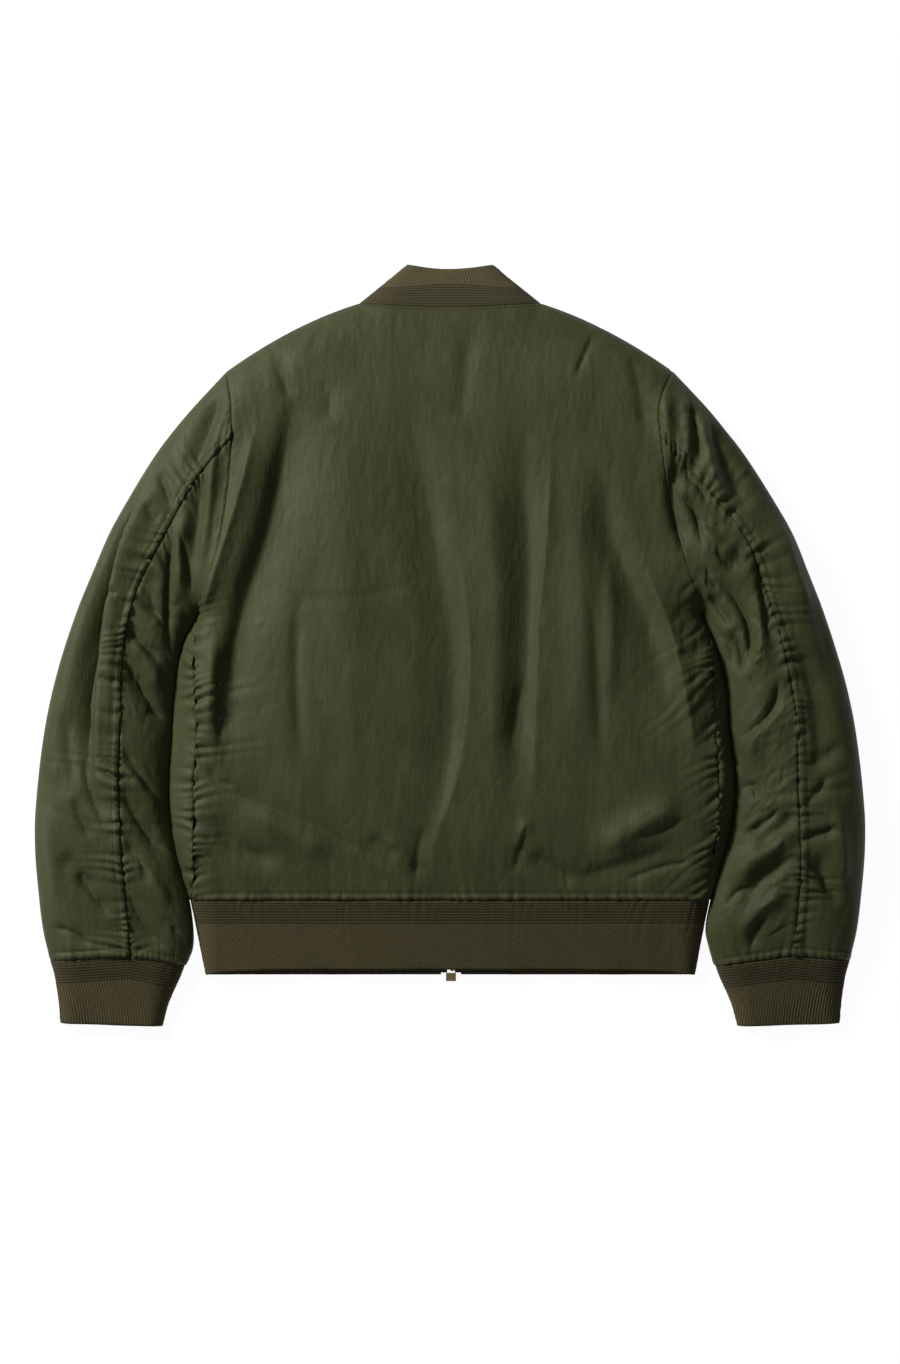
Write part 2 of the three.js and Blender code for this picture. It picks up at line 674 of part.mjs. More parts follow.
// The pull lies along -Y from its bar, which is at this mesh's own origin.
function pullGeometry() {
  const half = pull.width / 2;
  const shape = new THREE.Shape();
  shape.moveTo(half, pull.bar);
  shape.lineTo(-half, pull.bar);
  shape.absarc(0, -pull.length + half, half, Math.PI, 2 * Math.PI, false);
  const slot = new THREE.Path();
  slot.moveTo(-pull.slotHalf, -pull.bar);
  slot.lineTo(pull.slotHalf, -pull.bar);
  slot.lineTo(pull.slotHalf, -pull.slotEnd);
  slot.lineTo(-pull.slotHalf, -pull.slotEnd);
  slot.closePath();
  shape.holes.push(slot);
  const geometry = new THREE.ExtrudeGeometry(shape, {
    depth: pull.thickness,
    bevelEnabled: false,
    curveSegments: 8,
  });
  return geometry.translate(0, 0, -pull.thickness / 2);
}

// ---- Materials and assembly --------------------------------------------------------------------------
const material = (color, roughness, metalness = 0) =>
  new THREE.MeshStandardMaterial({ color, roughness, metalness });
const nylon = material('#454a33', 0.55);
const ribKnit = material('#3f3a27', 0.9);
const tapeCloth = material('#3a3c28', 0.85);
const brass = material('#8a7c58', 0.4, 0.9);

const jacket = new THREE.Group();
function add(name, geometry, finish, place = [0, 0, 0], turn = 0) {
  const mesh = new THREE.Mesh(geometry, finish);
  mesh.name = name;
  mesh.position.set(...place);
  mesh.rotation.x = turn;
  jacket.add(mesh);
}

const shell = { thickness: shellThickness, rows: sleeveRows, trim: 0.45 };
// The rows of a panel's part, and the trim at its two ends: half a seam's gap where it was cut.
const cutRows = (rows, from, to) => ({
  rows: rows.filter((v) => v >= from && v <= to),
  ends: [from === 0 ? shell.trim : seamGap / 2, to === 1 ? shell.trim : seamGap / 2],
});
add(
  'back',
  wall({ ...shell, rowAt: backRow, rows: bodyRows, columns: [7, 8, 7], reverse: true, trim: 0.65 }),
  nylon,
);
for (const side of ['left', 'right']) {
  const mirrored = side === 'right';
  for (const { part, from, to } of frontParts) {
    const front = { ...shell, ...cutRows(bodyRows, from, to), columns: [3, 9] };
    add(`front_${side}_${part}`, wall({ ...front, rowAt: frontRow(side), reverse: mirrored }), nylon);
  }
  for (const { part, from, to } of sleeveParts) {
    const panel = { ...shell, ...cutRows(sleeveRows, from, to), columns: [6, 5] };
    const outer = wall({ ...panel, rowAt: sleeveRow(side, 'outer'), reverse: mirrored });
    const under = wall({ ...panel, rowAt: sleeveRow(side, 'inner'), reverse: !mirrored });
    add(`sleeve_outer_${side}_${part}`, outer, nylon);
    add(`sleeve_under_${side}_${part}`, under, nylon);
  }
  add(
    `cuff_${side}`,
    wall({
      rowAt: cuffRow(side),
      rows: [0, 0.15, 0.4, 0.7, 1],
      columns: [6, 6, 5, 5],
      thickness: ribThickness,
      trim: ribTrim.cuff,
      loop: true,
      reverse: !mirrored,
    }),
    ribKnit,
  );
  const s = sideSign[side];
  const block = [zipX + s * frontEdge, zipX + s * (frontEdge + hemBlockWidth)].sort((p, q) => p - q);
  add(
    `hem_block_${side}`,
    wall({
      rowAt: (v) => [block.map((x) => lower(x, lerp(hemY, hemBottomFront, v), 'body'))],
      rows: [0, 1],
      columns: [1],
      thickness: shellThickness,
    }),
    nylon,
  );
  const band = [zipX + s * tape.from, zipX + s * tape.to].sort((p, q) => p - q);
  add(
    `zip_tape_${side}`,
    strip({
      a: band[0],
      b: band[1],
      above: shellThickness + seamGap,
      thickness: tape.thickness,
      from: zipTop,
      to: zipBottom,
    }),
    tapeCloth,
  );
}
const rib = { thickness: ribThickness, rows: [0, 0.33, 0.66, 1] };
add('collar', wall({ ...rib, rowAt: collarRow, columns: [10, 10, 10], trim: ribTrim.collar }), ribKnit);
add(
  'hem_rib',
  wall({ ...rib, rowAt: hemRow, columns: [8, 12, 12, 8], reverse: true, trim: ribTrim.hem }),
  ribKnit,
);
add(
  'zip_chain',
  strip({
    a: zipX - chain.half,
    b: zipX + chain.half,
    above: chain.above,
    thickness: chain.thickness,
    from: slider.y + slider.length / 2 - slider.post - 0.5,
    to: zipBottom,
  }),
  brass,
);
const boxGeometry = new THREE.BoxGeometry(2 * box.half, box.length, box.thickness);
add('zip_box', boxGeometry, brass, [zipX, zipBottom - seamGap - box.length / 2, box.thickness / 2 + 0.1]);
add('zip_slider', sliderGeometry(), brass);
add('zip_pull', pullGeometry(), brass, [zipX, slider.y, hingeZ], THREE.MathUtils.degToRad(pull.tilt));

export default jacket;
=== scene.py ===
# Bomber jacket lying on its front: washed olive nylon with gathered seams and rib knit trims.
# Lengths are in millimetres until a mesh is made. +Z is up from the floor, +Y runs from hem to collar.
import math
import bpy
import numpy as np
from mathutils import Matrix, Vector


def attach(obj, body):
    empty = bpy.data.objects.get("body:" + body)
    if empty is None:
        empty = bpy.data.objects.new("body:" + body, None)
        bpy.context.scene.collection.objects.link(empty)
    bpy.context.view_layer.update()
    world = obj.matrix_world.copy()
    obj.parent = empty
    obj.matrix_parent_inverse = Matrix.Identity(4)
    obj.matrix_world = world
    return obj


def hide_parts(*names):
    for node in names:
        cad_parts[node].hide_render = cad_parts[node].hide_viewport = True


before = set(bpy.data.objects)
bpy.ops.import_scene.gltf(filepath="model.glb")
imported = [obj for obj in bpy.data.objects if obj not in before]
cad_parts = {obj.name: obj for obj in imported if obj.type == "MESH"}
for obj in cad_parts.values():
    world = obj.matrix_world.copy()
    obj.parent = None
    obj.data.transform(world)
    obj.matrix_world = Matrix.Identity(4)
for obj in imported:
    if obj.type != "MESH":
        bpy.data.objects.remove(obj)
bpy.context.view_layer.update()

# ---- sizes shared by the pieces ----
nylonWall = 2.0
ribWall = 2.6
seamGap = 0.0
sleeveGap = -2.0  # the sleeves press against the body
edgeShare = 0.3  # height of a side fold, as a share of the crown
underRound = 1.1
underarmY = 31.0
hemY = -255.0
hemBottomBack = -325.0
hemBottomFront = -331.0
zipX = 1.0
frontEdge = 10.0
hemBlockWidth = 48.0
neck = {"half": 91, "side": 343, "backMiddle": 338, "frontMiddle": 268}
collarTop = {"half": 43, "side": 382, "backMiddle": 377, "frontMiddle": 313}
shoulderBulge = 7.0
lift = {"height": 8, "fullAbove": 232, "zeroBelow": 150, "half": 75}
neckShare = 0.2
spread = 1.0


def table(names, *rows):
    # A table with named columns, a row per section.
    return {name: np.array([row[i] for row in rows], float) for i, name in enumerate(names.split())}


outerEdge = table(
    "y half",
    (274, 224), (235, 260), (195, 292), (155, 318), (115, 341), (75, 358), (35, 374),
    (-25, 393), (-85, 406), (-165, 415), (-205, 415.5), (-245, 412.5), (-285, 408), (-316, 401),
)
backEdge = table(
    "y left right",
    (274, 224, 223), (240, 218, 208), (206, 217, 209), (170, 219, 214), (130, 224, 222),
    (90, 232, 232), (60, 243, 242), (31, 251, 251), (0, 253, 258), (-45, 251, 261),
    (-90, 250, 263), (-135, 253, 266), (-180, 253, 264), (-225, 253, 259), (-255, 256, 256),
)
valley = table(
    "y left right",
    (31, 251, 251), (0, 267, 264), (-45, 275, 276), (-90, 278, 279), (-135, 281, 284),
    (-180, 279, 281), (-225, 270, 270), (-255, 262, 262), (-285, 258, 257), (-305, 259, 261),
    (-321, 266, 266),
)
sleeveSeam = table(
    "y left right",
    (206, 217, 209), (165, 251, 245), (110, 282, 291), (52, 311, 314), (-5, 323, 331),
    (-70, 326, 343), (-145, 328, 345), (-215, 325, 348), (-267, 321, 346), (-310, 318, 342),
)
sleeveSections = table(
    "i outer seam inner front",
    (0, 274, 206, 31, 0.5), (1, 195, 165, 3, 0.52), (2, 115, 110, -22, 0.54),
    (3, 35, 52, -57, 0.55), (4, -25, -5, -97, 0.55), (5, -85, -70, -140, 0.55),
    (6, -165, -145, -178, 0.55), (7, -235, -215, -228, 0.55), (8, -282, -267, -283, 0.55),
    (9, -316, -310, -321, 0.55),
)
cuffEdge = table(
    "share outer outerY inner innerY",
    (0, 401, -316, 266, -321), (0.25, 397, -330, 271, -334),
    (0.6, 393, -355, 282, -358), (1, 391, -379, 289, -382),
)
hemEdge = table("share half", (0, 260.5), (0.35, 255), (1, 245.5))
profile = table(
    "y body bodyRound sleeve sleeveRound",
    (382, 11, 14, 11, 14), (343, 20, 26, 20, 26), (274, 33, 40, 33, 40), (200, 39, 46, 39, 46),
    (100, 43, 48, 43, 48), (20, 45, 48, 45, 50), (-100, 45, 48, 46, 52), (-190, 40, 42, 44, 50),
    (-255, 28, 30, 38, 44), (-320, 16, 15, 27, 30), (-335, 14, 14, 23, 24), (-382, 14, 14, 15, 15),
)


def read(tab, key, column, value):
    # A smooth curve through one column of a table.
    keys, values = tab[key], tab[column]
    if keys[0] > keys[-1]:
        keys, values = keys[::-1], values[::-1]
    value = np.clip(value, keys[0], keys[-1])
    i = np.clip(np.searchsorted(keys, value, side="right"), 1, len(keys) - 1)
    steps = np.diff(values) / np.diff(keys)
    inner = (values[2:] - values[:-2]) / (keys[2:] - keys[:-2])
    slopes = np.concatenate([steps[:1], inner, steps[-1:]])
    span = keys[i] - keys[i - 1]
    t = (value - keys[i - 1]) / span
    rise = values[i - 1] * (2 * t**3 - 3 * t**2 + 1) + values[i] * (3 * t**2 - 2 * t**3)
    return rise + span * (slopes[i - 1] * (t**3 - 2 * t**2 + t) + slopes[i] * (t**3 - t**2))


def smooth(t):
    t = np.clip(t, 0, 1)
    return t * t * (3 - 2 * t)


def lerp(a, b, t):
    return a + (b - a) * t


sign = {"left": -1, "right": 1}


def clearance(y):
    return lerp(sleeveGap, seamGap, smooth((y - underarmY) / 70)) / 2


def armholeX(side, y, outward):
    return sign[side] * (read(backEdge, "y", side, y) + outward * clearance(y))


def valleyX(side, y, outward):
    return sign[side] * (read(valley, "y", side, y) + outward * clearance(y))


def outerX(side, y):
    return sign[side] * read(outerEdge, "y", "half", y)


def shoulder(side, t):
    tip = np.array([outerX(side, 274), 274.0])
    end = np.array([sign[side] * neck["half"], neck["side"]])
    return tip + (end - tip) * t + np.array([0, shoulderBulge * 4 * t * (1 - t)])


def collarSide(side, t):
    x = sign[side] * lerp(neck["half"], collarTop["half"], t)
    return np.array([x, lerp(neck["side"], collarTop["side"], t)])


def hemSide(side, t):
    return np.array([sign[side] * read(hemEdge, "share", "half", t), lerp(hemY, hemBottomFront, t)])


def cuffSide(side, t, which):
    x = sign[side] * read(cuffEdge, "share", which, t)
    return np.array([x, read(cuffEdge, "share", which + "Y", t)])


# ---- the form: two layers that meet in a rounded fold round the outline ----
def sample(make, steps):
    return np.array([make(t) for t in np.linspace(0, 1, steps + 1)])


def makeOutlines():
    shared = []
    for side in sign:
        shared.append(sample(lambda t: shoulder(side, t), 12))
        shared.append(sample(lambda t: collarSide(side, t), 1))
        ys = np.linspace(274, -316, 90)
        shared.append(np.stack([outerX(side, ys), ys], 1))
    outlines = {"body": list(shared)}
    for side in sign:
        ys = np.linspace(underarmY, hemY, 64)
        outlines["body"].append(np.stack([valleyX(side, ys, -1), ys], 1))
        outlines["body"].append(sample(lambda t: hemSide(side, t), 8))
        ys = np.linspace(underarmY, -321, 70)
        sleeve = [np.stack([valleyX(side, ys, 1), ys], 1)]
        sleeve.append(sample(lambda t: cuffSide(side, t, "outer"), 8))
        sleeve.append(sample(lambda t: cuffSide(side, t, "inner"), 8))
        outlines[side] = shared + sleeve
    return outlines


outlines = makeOutlines()


def edgeDistance(x, y, form):
    best = np.full(x.shape, 1e9)
    for line in outlines[form]:
        for a, b in zip(line[:-1], line[1:]):
            dx, dy = b - a
            t = np.clip(((x - a[0]) * dx + (y - a[1]) * dy) / max(dx * dx + dy * dy, 1e-9), 0, 1)
            away = (x - a[0] - t * dx) ** 2 + (y - a[1] - t * dy) ** 2
            np.minimum(best, away, out=best)
    return np.sqrt(best)


def quarterRound(q):
    return np.sqrt(1 - (1 - np.clip(q, 0, 1)) ** 2)


def liftAt(x, y):
    up = smooth((y - lift["zeroBelow"]) / (lift["fullAbove"] - lift["zeroBelow"]))
    across = smooth(1.3 - np.abs(x - zipX) / lift["half"])
    return lift["height"] * up * across * smooth((neck["side"] + 10 - y) / 40)


# The outline is made of short straight lines, so points this near count as on it.
outlineSlack = 0.12


def surface(xy, layer, form):
    x, y = xy[..., 0], xy[..., 1]
    column = "body" if form == "body" else "sleeve"
    crown = read(profile, "y", column, y)
    distance = np.maximum(edgeDistance(x, y, form) - outlineSlack, 0)
    if layer == "upper":
        share = quarterRound(distance / read(profile, "y", column + "Round", y))
        z = crown * (edgeShare + (1 - edgeShare) * share)
    else:
        share = quarterRound(distance / (crown * edgeShare * underRound))
        z = crown * edgeShare * (1 - share) + liftAt(x, y)
    return np.stack([x, y, z], -1)


# ---- folds, one by one: half width, height, lean and a path ----
# Lean above 0 makes the side to the left of the path wider and softer, and the other side steeper.
backFolds = [
    (26, -8.7, -0.3, [(-48, 262), (-36, 200), (-22, 140), (-10, 70), (-2, 20), (2, -40), (0, -90), (-10, -145), (-28, -195), (-38, -235)]),
    (19, -8.0, -0.2, [(68, 235), (75, 150), (78, 80), (76, 0), (72, -60), (67, -130), (64, -185)]),
    (26, -13.0, 0.45, [(-146, 285), (-164, 190), (-182, 110), (-200, 55), (-214, 0), (-219, -60), (-218, -140)]),
    (22, -8.7, -0.2, [(148, 190), (158, 118), (172, 78), (188, 42), (202, 4), (211, -40), (216, -100)]),
    (30, 4.3, 0.0, [(-100, 210), (-104, 100), (-100, -20), (-104, -120)]),
    (20, 4.3, 0.0, [(34, 230), (40, 140), (46, 20), (44, -100), (40, -170)]),
    (24, 4.3, 0.2, [(122, 210), (128, 110), (132, 0), (124, -120)]),
    (12, 5.8, 0.2, [(-232, 12), (-236, -40), (-238, -100)]),
    (14, -5.8, 0.0, [(-238, -166), (-220, -192), (-200, -207), (-160, -217)]),
    (18, 5.8, 0.0, [(-210, -160), (-160, -186), (-110, -212)]),
    (20, 8.7, 0.0, [(232, -150), (190, -178), (140, -205)]),
    (14, -3.8, 0.2, [(232, -196), (190, -214), (150, -226), (112, -240)]),
    (12, -4.9, 0.0, [(74, -206), (100, -222), (130, -240)]),
    (11, -2.4, 0.2, [(-176, 300), (-166, 270), (-160, 240)]),
    (12, -3.5, 0.2, [(178, 300), (188, 260), (196, 200)]),
    (14, -3.2, 0.0, [(20, 320), (14, 262), (10, 210)]),
    (12, -1.8, 0.0, [(-120, 268), (-118, 240), (-126, 216)]),
    (10, 3.5, 0.1, [(156, 90), (160, 20), (158, -60)]),
    (9, -3.2, 0.0, [(140, 60), (146, -30), (150, -120)]),
    (8, -2.9, 0.0, [(-150, 60), (-152, -30), (-146, -120)]),
    (8, -0.9, 0.0, [(-170, 48), (-100, 46), (-20, 66)]),
]
backCreases = [
    (7, 3.4, 0.5, [(8, 95), (16, 35), (19, -13), (16, -71), (3, -139), (-13, -187), (-24, -225)]),
    (7, 3.2, 0.5, [(101, 222), (97, 134), (93, 82), (87, 29), (85, -23), (82, -129), (78, -178)]),
    (13, 7.8, 0.2, [(-186, 232), (-197, 198), (-206, 161), (-220, 113), (-235, 66), (-244, 25), (-247, -20)]),
    (10, 6.0, 0.3, [(188, 90), (203, 50), (216, 19), (229, -34), (239, -86), (242, -124)]),
    (7, -3.4, 0.5, [(-248, -134), (-197, -155), (-145, -176), (-97, -200), (-52, -227)]),
    (9, -3.0, 0.0, [(-82, -190), (-66, -200), (-50, -214)]),
    (9, 3.0, 0.0, [(-66, -186), (-46, -206), (-36, -226)]),
    (9, -3.6, 0.2, [(-26, -176), (-32, -208), (-34, -240)]),
    (9, 3.4, 0.2, [(82, -172), (72, -182), (66, -206)]),
    (9, -3.8, 0.3, [(76, -180), (69, -206), (62, -232)]),
    (8, -2.6, -0.2, [(74, -30), (66, -70), (62, -110)]),
    (6, -5.2, 0.3, [(-228, 4), (-228, -50), (-228, -112)]),
    (5, -3.9, 0.2, [(-240, -118), (-232, -134), (-212, -142)]),
    (5, -3.4, 0.3, [(146, 316), (134, 290), (123, 262)]),
    (5, -0.9, 0.0, [(-127, 266), (-122, 252)]),
    (5, -1.8, 0.0, [(-178, 282), (-166, 262), (-158, 240)]),
    (6, -3.4, 0.0, [(236, -172), (206, -186), (176, -190)]),
    (5, -3.4, 0.0, [(244, -214), (210, -222), (170, -236)]),
]
sleeveFolds = [
    # left, above the cuff
    (22, -17.0, -0.72, [(-284, 212), (-296, 186), (-312, 150), (-328, 110), (-339, 70), (-348, 30), (-353, -15), (-356, -60), (-357, -110), (-354, -150), (-346, -178)]),
    (14, 6.5, -0.1, [(-280, 190), (-298, 150), (-318, 105), (-332, 50), (-338, -40), (-340, -110)]),
    (12, -8.0, -0.3, [(-229, 262), (-238, 220), (-252, 182), (-262, 160)]),
    (11, -5.8, 0.0, [(-247, 168), (-248, 120), (-254, 62)]),
    (8, 5.8, 0.0, [(-232, 205), (-238, 150), (-246, 95), (-252, 55)]),
    (9, 5.8, 0.0, [(-262, 140), (-268, 90), (-268, 40)]),
    (10, -4.0, 0.0, [(-300, 75), (-296, 50), (-290, 20)]),
    (10, -4.6, 0.0, [(-388, -205), (-372, -222), (-350, -246)]),
    (8, 4.0, 0.0, [(-322, -205), (-298, -230), (-276, -262)]),
    (9, 4.6, 0.0, [(-322, -115), (-300, -150), (-276, -180)]),
    (10, -4.0, 0.0, [(-390, -60), (-382, -100), (-372, -150)]),
    (9, 3.4, 0.0, [(-402, -150), (-396, -210), (-388, -260)]),
    (9, 4.6, 0.0, [(-318, 10), (-300, -15), (-284, -50)]),
    # right, above the cuff
    (10, 6.9, 0.2, [(213, 262), (214, 225), (218, 190), (222, 168)]),
    (9, -8.0, 0.1, [(223, 205), (225, 178), (221, 150), (226, 118), (238, 86)]),
    (8, 6.3, 0.0, [(228, 262), (235, 225), (234, 195), (228, 165)]),
    (10, 6.9, 0.1, [(246, 250), (254, 205), (264, 165), (280, 138)]),
    (16, -6.9, 0.2, [(258, 232), (268, 192), (282, 158), (300, 132)]),
    (16, 6.3, 0.0, [(322, 140), (336, 100), (348, 60), (362, 25)]),
    (16, -5.8, 0.3, [(352, 96), (366, 50), (378, 0), (388, -50)]),
    (15, -5.2, 0.2, [(340, 10), (358, -40), (366, -100), (360, -140)]),
    (18, 7.5, 0.0, [(246, 125), (262, 100), (284, 82)]),
    (10, 6.9, 0.0, [(300, 62), (307, 35), (308, 0), (304, -30)]),
    (12, 6.9, 0.0, [(322, -60), (306, -85), (294, -120), (284, -160)]),
    (10, -6.9, 0.2, [(300, -205), (322, -188), (346, -163)]),
    (12, 6.9, 0.0, [(276, -240), (300, -215), (330, -190), (344, -180)]),
    (10, -7.5, 0.2, [(284, -262), (312, -232), (344, -205)]),
    (10, 5.2, 0.0, [(284, -290), (306, -265), (336, -238)]),
    (9, -5.2, 0.0, [(362, -205), (376, -235), (386, -262)]),
    (10, 4.0, 0.0, [(380, -150), (388, -200), (390, -250)]),
    (9, -4.0, 0.0, [(350, -120), (372, -112), (392, -96)]),
]
sleeveCreases = [
    # left
    (9, -9.0, -0.7, [(-300, 180), (-314, 150), (-330, 110), (-341, 70), (-350, 30), (-355, -15), (-358, -60), (-358, -110), (-353, -150)]),
    (5, 5.0, 0.3, [(-294, 178), (-307, 148), (-322, 108), (-333, 68), (-342, 28), (-347, -15), (-350, -60), (-350, -110), (-344, -150)]),
    (6, -9.4, 0.0, [(-273, 112), (-278, 80), (-279, 40), (-277, 0), (-272, -24)]),
    (5, -5.6, 0.0, [(-268, 116), (-260, 80), (-255, 48)]),
    (5, -7.5, 0.0, [(-259, 30), (-266, 8), (-270, -18)]),
    (8, -8.8, -0.4, [(-326, -8), (-308, -38), (-290, -66), (-272, -90)]),
    (7, -5.6, -0.3, [(-326, 20), (-306, 2), (-284, -20)]),
    (8, -5.6, -0.3, [(-327, -96), (-308, -128), (-286, -156)]),
    (8, -8.8, -0.4, [(-328, -142), (-306, -178), (-286, -202), (-268, -220)]),
    (7, -5.6, -0.3, [(-326, -188), (-308, -214), (-296, -240)]),
    (7, -6.2, -0.3, [(-325, -236), (-306, -276), (-282, -306)]),
    (6, -6.2, 0.2, [(-293, 178), (-284, 158), (-275, 134)]),
    (6, -4.8, 0.0, [(-302, 142), (-296, 128), (-286, 122)]),
    (9, -5.0, 0.2, [(-366, -105), (-358, -140), (-344, -172), (-334, -182)]),
    (7, -7.5, 0.0, [(-370, -222), (-356, -246), (-334, -272)]),
    (6, -5.0, 0.0, [(-374, -150), (-364, -176), (-354, -194)]),
    (6, -4.5, 0.0, [(-398, -280), (-378, -286), (-356, -300)]),
    (6, -4.5, 0.0, [(-345, 60), (-338, 52), (-326, 50)]),
    (6, -4.5, 0.0, [(-350, -30), (-340, -36), (-328, -40)]),
    # right
    (6, -8.1, 0.2, [(238, 246), (241, 222), (246, 196), (250, 180)]),
    (6, -7.5, 0.0, [(240, 186), (236, 168), (248, 158), (256, 138)]),
    (7, -8.1, 0.0, [(224, 142), (238, 140), (246, 122), (249, 96)]),
    (6, -5.6, 0.0, [(250, 126), (260, 116), (272, 118)]),
    (6, -6.2, 0.0, [(262, 100), (270, 84), (288, 74)]),
    (7, -9.4, 0.3, [(262, 66), (276, 52), (290, 30), (296, 4), (294, -26)]),
    (7, -10.0, 0.0, [(246, 62), (252, 36), (264, 14), (276, -4), (282, -34)]),
    (6, -8.8, 0.0, [(256, 50), (268, 30), (280, 18)]),
    (6, -8.8, 0.0, [(274, 14), (284, -2), (290, -30)]),
    (7, -9.4, 0.2, [(300, 96), (306, 72), (310, 44), (314, 14), (322, 0)]),
    (7, -8.8, -0.2, [(326, -30), (322, -58), (306, -80), (284, -96)]),
    (8, -10.0, 0.3, [(282, -96), (288, -118), (290, -140), (280, -168)]),
    (6, -6.2, 0.0, [(284, -146), (298, -140), (304, -156)]),
    (6, -6.2, 0.0, [(286, -188), (304, -182), (330, -160)]),
    (6, -5.6, 0.0, [(346, -158), (362, -148), (376, -128)]),
    (6, -5.0, 0.0, [(350, -190), (372, -186), (386, -176)]),
    (6, -5.6, 0.0, [(352, -214), (366, -226), (376, -252)]),
    (6, -5.6, 0.0, [(300, -306), (304, -284), (316, -266)]),
    (6, -5.0, 0.0, [(272, -262), (284, -246), (300, -240)]),
]

# Small creases of washed nylon, strewn over a region: how many, which way they run and their size ranges.
strewn = [
    dict(seed=3, box=(-250, 250, -245, 335), count=620, turn=90, sway=13, length=(16, 58), half=(2.0, 4.4), height=(-0.55, 0.45)),
    dict(seed=5, box=(-250, 250, -250, 320), count=200, turn=90, sway=70, length=(10, 30), half=(2.2, 4.5), height=(-0.5, 0.4)),
    dict(seed=8, box=(-412, -222, -312, 262), count=200, turn=96, sway=24, length=(16, 54), half=(2.4, 5.5), height=(-0.7, 0.5)),
    dict(seed=13, box=(222, 412, -312, 262), count=200, turn=84, sway=24, length=(16, 54), half=(2.4, 5.5), height=(-0.7, 0.5)),
    dict(seed=21, box=(-326, -266, -300, 60), count=90, turn=-48, sway=16, length=(18, 48), half=(2.4, 4.6), height=(-1.8, 1.2)),
    dict(seed=34, box=(266, 342, -300, -60), count=90, turn=44, sway=18, length=(18, 48), half=(2.4, 4.6), height=(-2.0, 1.4)),
    dict(seed=55, box=(222, 312, -40, 240), count=120, turn=70, sway=55, length=(10, 34), half=(2.4, 4.6), height=(-2.2, 1.8)),
]


def strewFolds(seed, box, count, turn, sway, length, half, height):
    random = np.random.default_rng(seed)
    folds = []
    for _ in range(count):
        middle = np.array([random.uniform(box[0], box[1]), random.uniform(box[2], box[3])])
        angle = math.radians(turn + random.normal(0, sway))
        long = random.uniform(*length)
        bend = random.normal(0, 0.12) * long
        along = np.array([math.cos(angle), math.sin(angle)])
        across = np.array([-along[1], along[0]])
        path = [middle - along * long / 2, middle + across * bend, middle + along * long / 2]
        folds.append((random.uniform(*half), random.uniform(*height), random.uniform(-0.4, 0.4), path))
    return folds


def smoothPath(points, pieces=8):
    points = np.array(points, float)
    knots = np.arange(len(points))
    t = np.linspace(0, len(points) - 1, (len(points) - 1) * pieces + 1)
    tab = {"t": knots.astype(float), "x": points[:, 0], "y": points[:, 1]}
    return np.stack([read(tab, "t", "x", t), read(tab, "t", "y", t)], 1)


def addFold(x, y, out, fold, power):
    half, height, lean, points = fold
    path = smoothPath(points)
    reach = 2.6 * half * (1 + abs(lean))
    low, high = path.min(0) - reach, path.max(0) + reach
    near = np.flatnonzero((x > low[0]) & (x < high[0]) & (y > low[1]) & (y < high[1]))
    if not len(near):
        return
    px, py = x[near], y[near]
    best = np.full(len(near), 1e9)
    side = np.ones(len(near))
    along = np.zeros(len(near))
    run = 0.0
    for a, b in zip(path[:-1], path[1:]):
        dx, dy = b - a
        length = math.hypot(dx, dy)
        t = np.clip(((px - a[0]) * dx + (py - a[1]) * dy) / length**2, 0, 1)
        away = np.hypot(px - a[0] - t * dx, py - a[1] - t * dy)
        closer = away < best
        best[closer] = away[closer]
        side[closer] = np.sign((py - a[1]) * dx - (px - a[0]) * dy)[closer]
        along[closer] = (run + t * length)[closer]
        run += length
    width = half * (1 + lean * side)
    ends = smooth(along / (0.3 * run)) * smooth((run - along) / (0.3 * run))
    out[near] += height * np.exp(-1.6 * (best / width) ** power) * ends


softFolds = backFolds + sleeveFolds
sharpFolds = backCreases + sleeveCreases
for region in strewn:
    sharpFolds = sharpFolds + strewFolds(**region)
print("folds:", len(softFolds) + len(sharpFolds))


def foldRelief(xy):
    x, y = xy[..., 0].ravel(), xy[..., 1].ravel()
    out = np.zeros(len(x))
    for fold in softFolds:
        addFold(x, y, out, fold, 1.8)
    for fold in sharpFolds:
        addFold(x, y, out, fold, 1.15)
    return out.reshape(xy.shape[:-1])


# ---- a piece of cloth as a grid ----
def resampleSection(dense, layer, form, step):
    # Takes a section's points again, evenly along the cloth.
    shape = surface(dense, layer, form)
    length = np.linalg.norm(np.diff(shape, axis=1), axis=2)
    arc = np.concatenate([np.zeros((len(dense), 1)), np.cumsum(length, axis=1)], axis=1)
    count = max(2, math.ceil(length.sum(1).mean() / step))
    share = np.linspace(0, 1, count + 1)
    rows = []
    for r in range(len(dense)):
        at = share * arc[r, -1]
        rows.append(np.stack([np.interp(at, arc[r], dense[r, :, 0]), np.interp(at, arc[r], dense[r, :, 1])], 1))
    return surface(np.array(rows), layer, form)


def makeGrid(rowPlan, stations, layers, steps, form):
    # rowPlan(v) gives one array of plan points for each section. Layers and steps have one entry for each.
    plans = [rowPlan(v) for v in stations]
    points, upperMask = [], []
    for k, layer in enumerate(layers):
        section = resampleSection(np.array([plan[k] for plan in plans]), layer, form, steps[k])
        if k:
            section = section[:, 1:]
        points.append(section)
        upperMask.append(np.full(section.shape[1], 1.0 if layer == "upper" else 0.0))
    grid = {"form": form, "points": np.concatenate(points, axis=1), "upper": np.concatenate(upperMask)}
    return measureGrid(grid)


def gridNormals(points, flip):
    across = np.gradient(points, axis=1)
    along = np.gradient(points, axis=0)
    normal = np.cross(across, along)
    normal /= np.maximum(np.linalg.norm(normal, axis=2), 1e-12)[..., None]
    return -normal if flip else normal


def running(points, axis):
    legs = np.linalg.norm(np.diff(points, axis=axis), axis=2)
    total = np.cumsum(legs, axis=axis)
    start = np.zeros_like(np.take(total, [0], axis=axis))
    return np.concatenate([start, total], axis=axis)


